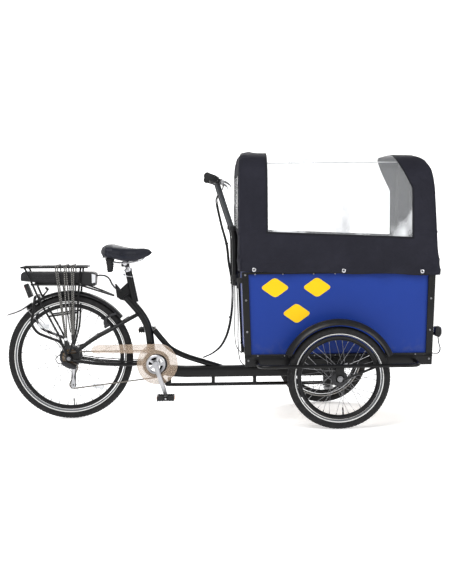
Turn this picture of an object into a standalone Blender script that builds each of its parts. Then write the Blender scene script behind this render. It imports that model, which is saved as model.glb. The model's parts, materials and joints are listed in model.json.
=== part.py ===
"""Three-wheel electric cargo bicycle with a steered, canopied box between two front wheels.

Metres, +X forward, +Z up, the drivetrain on the -Y side. Every place below is written
from the rear axle's foot point on the floor; the empty "tricycle" then moves the whole
assembly so that its frame origin lies under the middle of its bounding box.
"""
import math

import bmesh
import bpy
import numpy as np
from mathutils import Vector

# ---- driving dimensions -------------------------------------------------------------
REAR_TO_CENTRE = 0.7795      # rear axle to the middle of the overall length
CLEAR = 0.0003               # running gap between neighbouring solids
REAR_TYRE_R = 0.325
REAR_RIM_R = 0.2765
FRONT_TYRE_R = 0.253
FRONT_RIM_R = 0.2045
TYRE_SECTION_R = 0.024
AXLE_R = 0.006
AXLE_BORE_R = 0.0064
WHEELBASE = 1.353
HALF_TRACK = 0.400
KINGPIN_X = 1.345
BOTTOM_BRACKET = (0.444, 0.285)
CRANK_LENGTH = 0.168
CRANK_TILT = math.radians(-72.0)
CHAIN_Y = -0.050
CHAINRING_R = 0.070
COG_R = 0.030
JOCKEY_R = 0.020
GUIDE_PULLEY = (0.020, 0.273)
TENSION_PULLEY = (0.016, 0.183)
BOX_REAR_X = 0.902
BOX_FRONT_X = 1.824
BOX_FLOOR_Z = 0.352
BOX_TOP_Z = 0.772
BOX_MID_Z = 0.560
BOX_HALF_WIDTH = 0.3085      # outer face of the side panels at BOX_MID_Z
BOX_FLARE = 0.030            # widening of each side for each metre of height
PANEL = 0.009
POST = 0.033
RACK_HALF_WIDTH = 0.070
SEAT_TUBE_TOP = (0.3075, 0.0, 0.7600)
SEAT_TUBE_FOOT = (0.3380, 0.0, 0.6050)
SEAT_POST_R = 0.0127

ORIGIN = (0.0, 0.0, 0.0)
REAR_HUB = (0.0, 0.0, REAR_TYRE_R)
CRANK_AXIS = (BOTTOM_BRACKET[0], 0.0, BOTTOM_BRACKET[1])
SIDES = {"right": -1, "left": 1}

# ---- finishes: colour, roughness, metallic ------------------------------------------
FINISHES = {
    "frame_black": ((0.012, 0.012, 0.014), 0.28, 0.0),
    "box_blue": ((0.017, 0.048, 0.275), 0.42, 0.0),
    "plywood": ((0.30, 0.19, 0.10), 0.6, 0.0),
    "canopy_cloth": ((0.016, 0.016, 0.024), 0.8, 0.0),
    "clear_sheet": ((0.85, 0.87, 0.88), 0.1, 0.0),
    "tyre_rubber": ((0.030, 0.030, 0.031), 0.75, 0.0),
    "silver_metal": ((0.62, 0.62, 0.63), 0.28, 1.0),
    "dark_metal": ((0.10, 0.10, 0.11), 0.4, 0.8),
    "grey_paint": ((0.055, 0.055, 0.065), 0.35, 0.0),
    "black_plastic": ((0.020, 0.020, 0.022), 0.5, 0.0),
    "tan_guard": ((0.55, 0.43, 0.32), 0.3, 0.0),
    "saddle_skin": ((0.018, 0.018, 0.026), 0.55, 0.0),
    "battery_black": ((0.022, 0.022, 0.024), 0.45, 0.0),
    "red_lens": ((0.45, 0.015, 0.012), 0.15, 0.0),
    "cord_black": ((0.014, 0.014, 0.015), 0.5, 0.0),
}


# ---- shapes: each returns (points, faces) of one closed solid -------------------------
def along(points):
    """Unit tangents of a polyline: the mean of the two neighbouring segments' directions."""
    points = np.array(points, float)
    steps = np.diff(points, axis=0)
    steps /= np.linalg.norm(steps, axis=1)[:, None]
    tangents = np.vstack([steps[:1], steps[:-1] + steps[1:], steps[-1:]])
    return points, tangents / np.linalg.norm(tangents, axis=1)[:, None]


def swept(points, section):
    """Carry a closed section, given as (side, rise) offsets, along a polyline, with flat caps."""
    points, tangents = along(points)
    side = np.cross(tangents[0], (0.0, 0.0, 1.0))
    if np.linalg.norm(side) < 0.2:
        side = np.array((0.0, 1.0, 0.0))
    section = np.array(section, float)
    rings = []
    for point, tangent in zip(points, tangents):
        side = side - tangent * side.dot(tangent)
        side /= np.linalg.norm(side)
        rise = np.cross(side, tangent)
        rings.append(point + section[:, :1] * side + section[:, 1:] * rise)
    count = len(section)
    faces = [list(range(count))]
    for ring in range(len(rings) - 1):
        for k in range(count):
            low = ring * count + k
            nxt = ring * count + (k + 1) % count
            faces.append([low, nxt, nxt + count, low + count])
    last = (len(rings) - 1) * count
    faces.append([last + k for k in range(count)])
    return np.vstack(rings), faces


def circle(radius, sides):
    """Corners of a regular polygon of the given radius."""
    turn = np.arange(sides) * 2 * math.pi / sides
    return np.column_stack([np.cos(turn), np.sin(turn)]) * radius


def tube(points, radius, sides=8):
    """Round bar along a polyline."""
    return swept(points, circle(radius, sides))


def flat_bar(points, width, height):
    """Rectangular bar along a polyline: width to the side, height across it."""
    half_w = width / 2
    half_h = height / 2
    return swept(points, [(-half_w, -half_h), (half_w, -half_h), (half_w, half_h), (-half_w, half_h)])


def smooth(route, count):
    """Evenly numbered points on a Catmull-Rom curve through a route chosen by hand."""
    route = np.array(route, float)
    padded = np.vstack([2 * route[0] - route[1], route, 2 * route[-1] - route[-2]])
    found = []
    for value in np.linspace(0, len(route) - 1, count):
        k = min(int(value), len(route) - 2)
        t = value - k
        a, b, c, d = padded[k:k + 4]
        found.append(0.5 * (2 * b + (c - a) * t + (2 * a - 5 * b + 4 * c - d) * t * t
                            + (3 * b - a - 3 * c + d) * t ** 3))
    return np.array(found)


def block(low, high):
    """Box between two corners."""
    return tapered(low[:2], high[:2], low[2], low[:2], high[:2], high[2])


def tapered(low_min, low_max, low_z, high_min, high_max, high_z):
    """Box whose bottom and top rectangles differ."""
    points = []
    for (x0, y0), (x1, y1), z in ((low_min, low_max, low_z), (high_min, high_max, high_z)):
        points += [(x0, y0, z), (x1, y0, z), (x1, y1, z), (x0, y1, z)]
    faces = [[0, 3, 2, 1], [4, 5, 6, 7], [0, 1, 5, 4], [1, 2, 6, 5], [2, 3, 7, 6], [3, 0, 4, 7]]
    return np.array(points, float), faces


def plate(outline, y_low, y_high):
    """Flat plate: an XZ outline given a thickness along Y."""
    count = len(outline)
    points = [(x, y, z) for y in (y_low, y_high) for x, z in outline]
    faces = [list(range(count)), [count + k for k in range(count)]]
    for k in range(count):
        nxt = (k + 1) % count
        faces.append([k, nxt, nxt + count, k + count])
    return np.array(points, float), faces


def turned(profile, centre, sides, axis="Y"):
    """Ring turned about an axis through centre: profile holds (radius, place along the axis)."""
    turn = np.arange(sides) * 2 * math.pi / sides
    points = []
    for radius, place in profile:
        for c, s in zip(np.cos(turn), np.sin(turn)):
            local = (radius * c, place, radius * s) if axis == "Y" else (radius * c, radius * s, place)
            points.append(np.array(centre) + local)
    count = len(profile)
    faces = []
    for k in range(count):
        nxt = (k + 1) % count
        for j in range(sides):
            right = (j + 1) % sides
            faces.append([k * sides + j, k * sides + right, nxt * sides + right, nxt * sides + j])
    return np.array(points), faces


def disc(centre, radius, y_low, y_high, sides=20):
    """Solid round disc across Y."""
    return plate([(centre[0] + x, centre[1] + z) for x, z in circle(radius, sides)], y_low, y_high)


def ring(centre, inner, outer, y_low, y_high, sides=20):
    """Flat ring across Y, with a round hole."""
    profile = [(inner, y_low), (outer, y_low), (outer, y_high), (inner, y_high)]
    return turned(profile, (centre[0], 0.0, centre[1]), sides)


def arc(centre, radius, start, end, count):
    """XZ points along an arc, angles in degrees from +X towards +Z."""
    turn = np.radians(np.linspace(start, end, count))
    return [(centre[0] + radius * math.cos(t), centre[1] + radius * math.sin(t)) for t in turn]


def in_plane(outline, y):
    """XZ points as 3-D points at one Y."""
    return [(x, y, z) for x, z in outline]


# ---- making nodes -----------------------------------------------------------------------
def clear_scene():
    """Remove whatever the file opened with."""
    for thing in list(bpy.data.objects):
        bpy.data.objects.remove(thing, do_unlink=True)


def finish(name):
    """Material of one finish, made once."""
    if name in bpy.data.materials:
        return bpy.data.materials[name]
    colour, roughness, metallic = FINISHES[name]
    material = bpy.data.materials.new(name)
    material.use_nodes = True
    shader = material.node_tree.nodes["Principled BSDF"]
    shader.inputs["Base Color"].default_value = (*colour, 1.0)
    shader.inputs["Roughness"].default_value = roughness
    shader.inputs["Metallic"].default_value = metallic
    return material


def solid_object(name, shape, finish_name, origin):
    """Object of one closed shape, its mesh written around the object's own origin."""
    points, faces = shape
    mesh = bpy.data.meshes.new(name)
    mesh.from_pydata([tuple(p) for p in np.asarray(points) - np.array(origin)], [], faces)
    form = bmesh.new()
    form.from_mesh(mesh)
    bmesh.ops.recalc_face_normals(form, faces=form.faces)
    form.to_mesh(mesh)
    form.free()
    mesh.shade_smooth()
    mesh.set_sharp_from_angle(angle=math.radians(35))
    mesh.materials.append(finish(finish_name))
    thing = bpy.data.objects.new(name, mesh)
    thing.location = origin
    return thing


def operand_group(name, shapes, finish_name, parent):
    """Hidden wire objects that a Boolean joins to a node or cuts out of it."""
    group = bpy.data.collections.new(name)
    bpy.context.scene.collection.children.link(group)
    for number, shape in enumerate(shapes):
        tool = solid_object(f"{name}_{number}", shape, finish_name, ORIGIN)
        tool.hide_render = True
        tool.display_type = "WIRE"
        tool.parent = parent
        group.objects.link(tool)
    return group


def combine(thing, operation, group):
    """Live Boolean of a node with a group of operands."""
    change = thing.modifiers.new(operation.title(), "BOOLEAN")
    change.operation = operation
    change.solver = "EXACT"
    change.operand_type = "COLLECTION"
    change.collection = group


def node(name, shapes, finish_name, origin=ORIGIN, cuts=()):
    """One sub-part: its shapes joined into one body, less its cuts, its origin where it turns."""
    parent = bpy.data.objects["tricycle"]
    thing = solid_object(name, shapes[0], finish_name, origin)
    bpy.context.scene.collection.objects.link(thing)
    thing.parent = parent
    if len(shapes) > 1:
        combine(thing, "UNION", operand_group(name + "_joined", shapes[1:], finish_name, parent))
    if cuts:
        combine(thing, "DIFFERENCE", operand_group(name + "_cut", cuts, finish_name, parent))
    return thing


# ---- the rear frame -----------------------------------------------------------------------
def seat_mast_line():
    """Centre line of the curved mast from the saddle cluster down to the bottom bracket."""
    return smooth([(0.292, 0, 0.634), (0.366, 0, 0.546), (0.402, 0, 0.476),
                   (0.4155, 0, 0.392), (0.418, 0, 0.340), (0.440, 0, 0.290)], 12)


def build_frame():
    """Seat mast, load beam with its down tube, lower rail, stays, axle and steering head."""
    bracket = BOTTOM_BRACKET
    shell = disc(bracket, 0.022, -0.036, 0.036, 16)
    bracket_bore = disc(bracket, 0.0088, -0.05, 0.05, 16)
    top = np.array(SEAT_TUBE_TOP)
    foot = np.array(SEAT_TUBE_FOOT)
    down = (foot - top) / np.linalg.norm(foot - top)
    post_bore = tube([top - down * 0.01, top + down * 0.148], SEAT_POST_R + 0.0009, 14)
    gusset = plate([(0.237, 0.701), (0.246, 0.698), (0.262, 0.672), (0.298, 0.700), (0.316, 0.690),
                    (0.334, 0.600), (0.246, 0.632)], -0.004, 0.004)
    collar = tube([top + down * 0.014, top + down * 0.001], 0.0200, 12)
    node("seat_mast", [tube(seat_mast_line(), 0.021, 10), tube([top, foot], 0.0155, 12), gusset, shell, collar],
         "frame_black", cuts=[bracket_bore, post_bore])

    mast_clearance = tube(seat_mast_line(), 0.0215, 10)
    shell_clearance = disc(bracket, 0.0225, -0.05, 0.05, 16)
    head_clearance = tube([(KINGPIN_X, 0, 0.10), (KINGPIN_X, 0, 0.32)], 0.0292, 16)
    beam = flat_bar([(0.4605, 0, 0.2594), (0.520, 0, 0.242), (0.600, 0, 0.238), (KINGPIN_X, 0, 0.238)],
                    0.044, 0.060)
    down_tube = tube(smooth([(0.428, 0, 0.466), (0.478, 0, 0.405), (0.523, 0, 0.357),
                             (0.600, 0, 0.318), (0.700, 0, 0.285), (0.800, 0, 0.252)], 10), 0.0150, 8)
    node("load_beam", [beam, down_tube], "frame_black",
         cuts=[mast_clearance, head_clearance])

    struts = [block((x - 0.009, -0.011, 0.168), (x + 0.009, 0.011, 0.2072)) for x in (0.512, 0.741, 0.958)]
    lower_line = smooth([(0.478, 0, 0.196), (0.500, 0, 0.176), (0.530, 0, 0.169), (KINGPIN_X, 0, 0.169)], 8)
    node("lower_rail", [tube(lower_line, 0.009, 8)] + struts, "frame_black",
         cuts=[head_clearance, shell_clearance])

    node("steering_head", [turned([(0.0131, 0.155), (0.028, 0.155), (0.028, 0.285), (0.0131, 0.285)],
                                  (KINGPIN_X, 0, 0), 16, "Z")], "frame_black")

    for side, sign in SIDES.items():
        stay = smooth([(0.018, sign * 0.0695, 0.311), (0.060, sign * 0.0685, 0.305), (0.150, sign * 0.063, 0.292),
                       (0.290, sign * 0.049, 0.284), (0.345, sign * 0.036, 0.285),
                       (0.432, sign * 0.027, 0.286)], 8)
        dropout = disc((0, REAR_TYRE_R), 0.023, *sorted((sign * 0.060, sign * 0.066)), 12)
        bore = disc((0, REAR_TYRE_R), AXLE_BORE_R, *sorted((sign * 0.055, sign * 0.070)), 12)
        node(f"chain_stay_{side}", [tube(stay, 0.009, 8), dropout], "frame_black",
             cuts=[shell_clearance, bore])
        upper = smooth([(0.352, sign * 0.016, 0.541), (0.300, sign * 0.034, 0.514),
                        (0.220, sign * 0.052, 0.470), (0.126, sign * 0.062, 0.419),
                        (0.036, sign * 0.0755, 0.357)], 8)
        node(f"seat_stay_{side}", [tube(upper, 0.009, 8)], "frame_black", cuts=[mast_clearance])
    node("rear_axle", [disc((0, REAR_TYRE_R), AXLE_R, -0.112, 0.112, 12)], "silver_metal")


def build_saddle():
    """Telescoping post with the saddle's rails and bumpers, and the saddle on it."""
    top = np.array(SEAT_TUBE_TOP)
    foot = np.array(SEAT_TUBE_FOOT)
    up = (top - foot) / np.linalg.norm(foot - top)
    post = tube([top - up * 0.140, top + up * 0.040], SEAT_POST_R, 14)
    rails = [post, block((0.268, -0.020, 0.789), (0.312, 0.020, 0.810))]
    for sign in SIDES.values():
        rails.append(tube([(0.196, sign * 0.034, 0.820), (0.250, sign * 0.024, 0.8105),
                           (0.315, sign * 0.021, 0.8105), (0.380, sign * 0.014, 0.826)], 0.0038, 6))
        rails.append(turned([(0.004, 0.768), (0.010, 0.768), (0.014, 0.824), (0.004, 0.824)],
                            (0.212, sign * 0.040, 0), 10, "Z"))
    rails.append(block((0.190, -0.05, 0.818), (0.216, 0.05, 0.825)))
    rails.append(block((0.368, -0.02, 0.822), (0.384, 0.02, 0.829)))
    rails.append(block((0.276, -0.028, 0.8065), (0.304, 0.028, 0.8145)))
    node("seat_post", rails, "silver_metal")
    sections = [(0.166, 0.052, 0.858, 0.870), (0.180, 0.098, 0.838, 0.892), (0.225, 0.108, 0.833, 0.899),
                (0.280, 0.075, 0.834, 0.891), (0.335, 0.040, 0.838, 0.884), (0.390, 0.026, 0.842, 0.886),
                (0.418, 0.020, 0.848, 0.876), (0.428, 0.010, 0.855, 0.864)]
    points = []
    for x, half, low, high in sections:
        middle = (low + high) / 2
        for across, lift in ((1, -0.3), (0.85, 0.45), (0.4, 1), (-0.4, 1), (-0.85, 0.45), (-1, -0.3),
                             (-0.8, -1), (0.8, -1)):
            points.append((x, across * half, middle + lift * (high - low) / 2))
    faces = [list(range(8)), [8 * (len(sections) - 1) + k for k in range(8)]]
    for row in range(len(sections) - 1):
        for k in range(8):
            a = row * 8 + k
            b = row * 8 + (k + 1) % 8
            faces.append([a, b, b + 8, a + 8])
    node("saddle", [(np.array(points), faces)], "saddle_skin")


def build_rack():
    """Luggage rack, the battery it carries, the battery's dock, tail lamp and mudguard."""
    parts = [block((-0.245, -RACK_HALF_WIDTH, 0.789), (-0.235, RACK_HALF_WIDTH, 0.798)),
             block((0.096, -RACK_HALF_WIDTH, 0.789), (0.106, RACK_HALF_WIDTH, 0.798))]
    for x in (-0.150, -0.060, 0.030):
        parts.append(block((x - 0.004, -RACK_HALF_WIDTH, 0.790), (x + 0.004, RACK_HALF_WIDTH, 0.797)))
    for sign in SIDES.values():
        y = sign * RACK_HALF_WIDTH
        parts.append(tube([(-0.248, y, 0.7935), (0.108, y, 0.7925)], 0.0052, 6))
        parts.append(tube(smooth([(-0.222, y, 0.793), (-0.186, y, 0.715), (-0.144, y, 0.617),
                                  (-0.056, sign * 0.074, 0.451), (-0.030, sign * 0.0755, 0.385),
                                  (-0.014, sign * 0.0755, 0.349)], 7), 0.0052, 6))
        parts.append(tube(smooth([(0.066, y, 0.793), (0.053, y, 0.665), (0.040, y, 0.487),
                                  (0.016, sign * 0.0755, 0.400), (-0.014, sign * 0.0755, 0.349)], 6),
                          0.0052, 6))
        parts.append(tube([(-0.190, y, 0.706), (0.056, y, 0.703)], 0.0052, 6))
        parts.append(tube([(0.056, y, 0.703), (0.150, sign * 0.050, 0.670), (0.228, sign * 0.0105, 0.641)],
                          0.0045, 6))
        parts.append(tube([(-0.105, y, 0.541), (0.046, y, 0.560)], 0.0045, 6))
    axle_clearance = disc((0, REAR_TYRE_R), 0.0235, -0.2, 0.2, 12)
    node("rear_rack", parts, "frame_black", cuts=[axle_clearance])

    node("battery", [plate([(-0.246, 0.724), (-0.243, 0.762), (-0.236, 0.770), (0.062, 0.766),
                            (0.062, 0.712), (-0.120, 0.712)], -0.056, 0.056)], "battery_black")
    node("battery_dock", [plate([(0.0624, 0.767), (0.128, 0.765), (0.143, 0.756), (0.138, 0.694),
                                 (0.0624, 0.696)], -0.054, 0.054)], "clear_sheet")
    node("tail_light", [plate([(-0.236, 0.702), (-0.214, 0.706), (-0.190, 0.640), (-0.212, 0.632)],
                              -0.030, 0.030)], "red_lens")

    wheel = (0.0, REAR_TYRE_R)
    outline = arc(wheel, 0.3435, 152, 37, 22) + arc(wheel, 0.3400, 37, 152, 22)
    node("rear_mudguard", [plate(outline, -0.030, 0.030)], "black_plastic")


def build_stand():
    """U-shaped parking stand, folded up over the rear wheel; it turns on the axle ends."""
    parts = []
    bores = []
    for sign in SIDES.values():
        y = sign * 0.092
        parts.append(disc((0, REAR_TYRE_R), 0.014, *sorted((sign * 0.087, sign * 0.098)), 12))
        parts.append(tube(smooth([(-0.006, y, 0.330), (-0.040, y, 0.405), (-0.090, y, 0.430),
                                  (-0.152, y, 0.457), (-0.180, y, 0.490), (-0.187, y, 0.520),
                                  (-0.176, y, 0.570), (-0.170, sign * 0.080, 0.640)], 12), 0.007, 8))
    parts.append(tube([(-0.170, -0.084, 0.640), (-0.170, 0.084, 0.640)], 0.007, 8))
    bores.append(disc((0, REAR_TYRE_R), AXLE_BORE_R, -0.2, 0.2, 12))
    node("rear_stand", parts, "frame_black", REAR_HUB, bores)


# ---- wheels ---------------------------------------------------------------------------------
def tyre(name, hub, radius, sides):
    """Round tyre sitting outside its rim's bead."""
    section = arc((radius - TYRE_SECTION_R, 0.0), TYRE_SECTION_R, 0, 300, 6)
    node(name, [turned(section, hub, sides)], "tyre_rubber", hub)


def rim_shape(hub, outer_r, sides):
    """Box-section rim of 20 mm depth, just inside the tyre."""
    inner_r = outer_r - 0.020
    profile = [(inner_r, -0.0085), (outer_r, -0.0125), (outer_r, 0.0125), (inner_r, 0.0085)]
    return turned(profile, hub, sides)


def spoke_shapes(hub, inner_r, flange_y, outer_r, count):
    """Spokes from the rim's middle plane, alternately to the hub's two flanges."""
    shapes = []
    for k in range(count):
        turn = (k + 0.5) * 2 * math.pi / count
        y = hub[1] + (flange_y if k % 2 else -flange_y)
        foot = (hub[0] + inner_r * math.cos(turn), y, hub[2] + inner_r * math.sin(turn))
        head = (hub[0] + outer_r * math.cos(turn), hub[1], hub[2] + outer_r * math.sin(turn))
        shapes.append(tube([foot, head], 0.0013, 3))
    return shapes


def build_rear_wheel():
    """Geared hub motor, spokes, rim and tyre, with the driven cogs beside the hub."""
    hub = REAR_HUB
    tyre("rear_tyre", hub, REAR_TYRE_R, 36)
    laced = [rim_shape(hub, REAR_RIM_R, 36)] + spoke_shapes(hub, 0.0568, 0.020, REAR_RIM_R - 0.017, 36)
    node("rear_rim", laced, "silver_metal", hub)
    shell = [(AXLE_BORE_R, -0.0335), (0.030, -0.0335), (0.050, -0.024), (0.056, -0.023), (0.056, -0.017),
             (0.051, -0.015), (0.051, 0.015), (0.056, 0.017), (0.056, 0.023), (0.050, 0.024),
             (0.030, 0.0335), (AXLE_BORE_R, 0.0335)]
    node("rear_hub_motor", [turned(shell, hub, 16)], "silver_metal", hub)
    cogs = [(AXLE_BORE_R, -0.0585), (0.021, -0.0585), (0.0255, -0.0550), (0.0255, -0.0456),
            (0.040, -0.0452), (0.040, -0.0365), (AXLE_BORE_R, -0.0345)]
    node("rear_cogs", [turned(cogs, hub, 16)], "dark_metal", hub)


def front_hub_place(sign):
    """Centre of one front wheel."""
    return (WHEELBASE, sign * HALF_TRACK, FRONT_TYRE_R)


def build_front_wheels():
    """Both front wheels: a tyre on a rim laced to its hub."""
    for side, sign in SIDES.items():
        hub = front_hub_place(sign)
        tyre(f"front_tyre_{side}", hub, FRONT_TYRE_R, 32)
        shell = [(AXLE_BORE_R, -0.033), (0.016, -0.033), (0.038, -0.027), (0.038, -0.020), (0.020, -0.015),
                 (0.020, 0.015), (0.038, 0.020), (0.038, 0.027), (0.016, 0.033), (AXLE_BORE_R, 0.033)]
        laced = [rim_shape(hub, FRONT_RIM_R, 32), turned(shell, hub, 12)]
        laced += spoke_shapes(hub, 0.0350, 0.0235, FRONT_RIM_R - 0.017, 28)
        node(f"front_wheel_{side}", laced, "silver_metal", hub)


# ---- drivetrain and rear brake ------------------------------------------------------------------
def crank_tip(sign):
    """Pedal axis of one crank arm in the XZ plane."""
    turn = CRANK_TILT if sign < 0 else CRANK_TILT + math.pi
    return (BOTTOM_BRACKET[0] + CRANK_LENGTH * math.cos(turn),
            BOTTOM_BRACKET[1] + CRANK_LENGTH * math.sin(turn))


def build_cranks():
    """Axle, toothed ring, two crank arms and their pedals."""
    bracket = BOTTOM_BRACKET
    node("chainring", [ring(bracket, 0.0088, 0.0655, -0.0515, -0.0485, 28),
                       ring(bracket, 0.0088, 0.018, -0.0565, -0.0480, 28)], "silver_metal", CRANK_AXIS)
    for side, sign in SIDES.items():
        tip = crank_tip(sign)
        arm = flat_bar([(bracket[0], sign * 0.094, bracket[1]), (tip[0], sign * 0.098, tip[1])], 0.012, 0.024)
        shapes = [arm, disc(bracket, 0.019, *sorted((sign * 0.063, sign * 0.100)), 16),
                  disc(tip, 0.014, *sorted((sign * 0.091, sign * 0.104)), 12),
                  disc(tip, 0.005, *sorted((sign * 0.100, sign * 0.196)), 8)]
        if sign < 0:
            shapes.append(ring(bracket, 0.012, 0.049, -0.0720, -0.0640, 24))
            shapes.append(disc(bracket, 0.0084, -0.080, 0.086, 12))
        bores = [disc(bracket, 0.0088, 0.050, 0.0865, 12)] if sign > 0 else []
        node(f"crank_{side}", shapes, "silver_metal", CRANK_AXIS, bores)
        tread = [(x, z) for x, z in ((-0.046, -0.007), (-0.038, -0.014), (0.038, -0.014), (0.046, -0.007),
                                     (0.046, 0.007), (0.038, 0.014), (-0.038, 0.014), (-0.046, 0.007))]
        outline = [(tip[0] + x, tip[1] + z) for x, z in tread]
        body = plate(outline, *sorted((sign * 0.108, sign * 0.194)))
        bore = disc(tip, 0.0054, *sorted((sign * 0.100, sign * 0.1965)), 8)
        windows = [block((tip[0] + x - 0.011, min(sign * 0.120, sign * 0.182), tip[1] - 0.02),
                         (tip[0] + x + 0.011, max(sign * 0.120, sign * 0.182), tip[1] + 0.02))
                   for x in (-0.024, 0.024)]
        node(f"pedal_{side}", [body], "black_plastic", (tip[0], sign * 0.15, tip[1]), [bore] + windows)


def chain_line():
    """Chain pitch line: cog, toothed ring, tension pulley, guide pulley and back, as a loop."""
    cog = (0.0, REAR_TYRE_R)
    line = arc(BOTTOM_BRACKET, CHAINRING_R, 90, -86, 12)
    line += arc(TENSION_PULLEY, JOCKEY_R, -86, -209, 6)
    line += arc(GUIDE_PULLEY, JOCKEY_R, -29, 85, 6)
    line += arc(cog, COG_R, -95, -270, 8)
    return line


def loop_plate(line, thickness, y_low, y_high):
    """Closed band that follows a loop in the XZ plane."""
    line = np.array(line)
    ahead = np.roll(line, -1, axis=0) - np.roll(line, 1, axis=0)
    ahead /= np.linalg.norm(ahead, axis=1)[:, None]
    normal = np.column_stack([ahead[:, 1], -ahead[:, 0]]) * thickness / 2
    count = len(line)
    points = []
    for offset, y in ((-1, y_low), (1, y_low), (1, y_high), (-1, y_high)):
        points += [(x, y, z) for x, z in line + normal * offset]
    faces = []
    for edge in range(4):
        for k in range(count):
            nxt = (k + 1) % count
            faces.append([edge * count + k, edge * count + nxt,
                          (edge + 1) % 4 * count + nxt, (edge + 1) % 4 * count + k])
    return np.array(points), faces


def build_drivetrain():
    """Chain, chain guard, derailleur and its two pulleys."""
    node("chain", [loop_plate(chain_line(), 0.006, CHAIN_Y - 0.0036, CHAIN_Y + 0.0036)], "dark_metal")
    centre = (0.4515, 0.286)
    strip = plate([(0.112, 0.362), (0.120, 0.345), (0.400, 0.340), (0.400, 0.389), (0.150, 0.387)],
                  -0.0610, -0.0580)
    node("chain_guard", [ring(centre, 0.052, 0.105, -0.0610, -0.0580, 32), strip], "tan_guard")
    plates = []
    for y_low, y_high in ((-0.0425, -0.0408), (-0.0585, -0.0568)):
        plates.append(plate([(0.008, 0.168), (0.026, 0.172), (0.031, 0.274), (0.020, 0.2805),
                             (0.009, 0.276), (0.004, 0.190)], y_low, y_high))
    for pulley in (TENSION_PULLEY, GUIDE_PULLEY):
        plates.append(disc(pulley, 0.0030, -0.0580, -0.0410, 8))
    plates.append(plate([(-0.040, 0.292), (-0.010, 0.272), (0.026, 0.266), (0.030, 0.282),
                         (-0.006, 0.300), (-0.030, 0.306)], -0.0780, -0.0580))
    node("derailleur", plates, "dark_metal")
    for name, pulley in (("tension_pulley", TENSION_PULLEY), ("guide_pulley", GUIDE_PULLEY)):
        node(name, [ring(pulley, 0.0034, 0.0160, CHAIN_Y - 0.0025, CHAIN_Y + 0.0025, 12)],
             "black_plastic", (pulley[0], 0.0, pulley[1]))


def brake_pivot(sign):
    """Foot of one rear brake arm, beside its seat stay."""
    return (0.196, sign * 0.0400, 0.470)


def build_rear_brake():
    """Two upright brake arms beside the rim, each with its pad."""
    for side, sign in SIDES.items():
        foot = brake_pivot(sign)
        arm = flat_bar(smooth([(0.188, sign * 0.0385, 0.482), (0.184, sign * 0.0385, 0.510),
                               (0.206, sign * 0.0370, 0.534), (0.238, sign * 0.0360, 0.548)], 6), 0.008, 0.013)
        pad = flat_bar([(0.1650, sign * 0.0215, 0.5260), (0.2140, sign * 0.0215, 0.4875)], 0.010, 0.011)
        stem = tube([(0.1880, sign * 0.024, 0.5085), (0.1880, sign * 0.0385, 0.5085)], 0.004, 8)
        node(f"rear_brake_arm_{side}", [arm, pad, stem], "silver_metal", foot)


# ---- the steered front ----------------------------------------------------------------------------
def flare(point):
    """Where a point of the straight-sided box goes: each wall leans out with height."""
    x, y, z = point
    rise = BOX_FLARE * (z - BOX_MID_Z)
    middle = (BOX_REAR_X + BOX_FRONT_X) / 2
    half = (BOX_FRONT_X - BOX_REAR_X) / 2
    return (middle + (x - middle) * (1 + rise / half), y * (1 + rise / BOX_HALF_WIDTH), z)


def box_piece(low, high):
    """Block of the box, flared with it."""
    points, faces = block(low, high)
    return np.array([flare(point) for point in points]), faces


def sided(sign, low, high):
    """Y limits of a piece on one side, in rising order."""
    return sorted((sign * low, sign * high))


def build_box():
    """Floor, four panels, bench, and the steel frame of each side with its wheel axle."""
    rear = BOX_REAR_X
    front = BOX_FRONT_X
    out = BOX_HALF_WIDTH
    inside = out - PANEL
    base = 0.346
    node("box_floor", [box_piece((rear + PANEL + CLEAR, -inside + CLEAR, base),
                                 (front - PANEL - CLEAR, inside - CLEAR, base + PANEL))], "plywood")
    node("box_panel_rear", [box_piece((rear, -out, base), (rear + PANEL, out, BOX_TOP_Z))], "box_blue")
    node("box_panel_front", [box_piece((front - PANEL, -out, base), (front, out, BOX_TOP_Z))], "box_blue")
    seat = [box_piece((rear + PANEL + 0.001, -inside + 0.001, 0.560), (rear + 0.290, inside - 0.001, 0.572)),
            box_piece((rear + 0.276, -inside + 0.001, base + PANEL + 0.001), (rear + 0.288, inside - 0.001, 0.566))]
    node("bench", seat, "plywood")
    for side, sign in SIDES.items():
        y0, y1 = sided(sign, inside, out)
        node(f"box_panel_{side}", [box_piece((rear + PANEL + CLEAR, y0, base),
                                             (front - PANEL - CLEAR, y1, BOX_TOP_Z))], "box_blue")
        skin = sided(sign, out + CLEAR, out + 0.0123)
        wide = sided(sign, 0.270, out + 0.0123)
        x_low = rear - 0.012
        x_high = front + 0.012
        shapes = [box_piece((x_low, wide[0], 0.300), (x_high, wide[1], base - CLEAR)),
                  box_piece((x_low + 0.001, skin[0], 0.302), (x_high - 0.001, skin[1], 0.360)),
                  box_piece((x_low + 0.001, skin[0], 0.748), (x_high - 0.001, skin[1], BOX_TOP_Z - 0.001))]
        for x_outer, x_inner, x_flange in ((x_low, rear - CLEAR, x_low + POST),
                                           (x_high, front + CLEAR, x_high - POST)):
            near, far = sorted((x_outer, x_flange))
            shapes.append(box_piece((near, skin[0], 0.301), (far, skin[1], BOX_TOP_Z)))
            near, far = sorted((x_outer, x_inner))
            shapes.append(box_piece((near, wide[0], 0.301), (far, wide[1], BOX_TOP_Z)))
        plate_y = sided(sign, 0.3030, 0.3285)
        shapes.append(block((WHEELBASE - 0.020, plate_y[0], 0.236), (WHEELBASE + 0.020, plate_y[1], 0.344)))
        axle_y = sided(sign, 0.3205, 0.4620)
        shapes.append(disc((WHEELBASE, FRONT_TYRE_R), AXLE_R, *axle_y, 12))
        node(f"box_frame_{side}", shapes, "frame_black")


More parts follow.
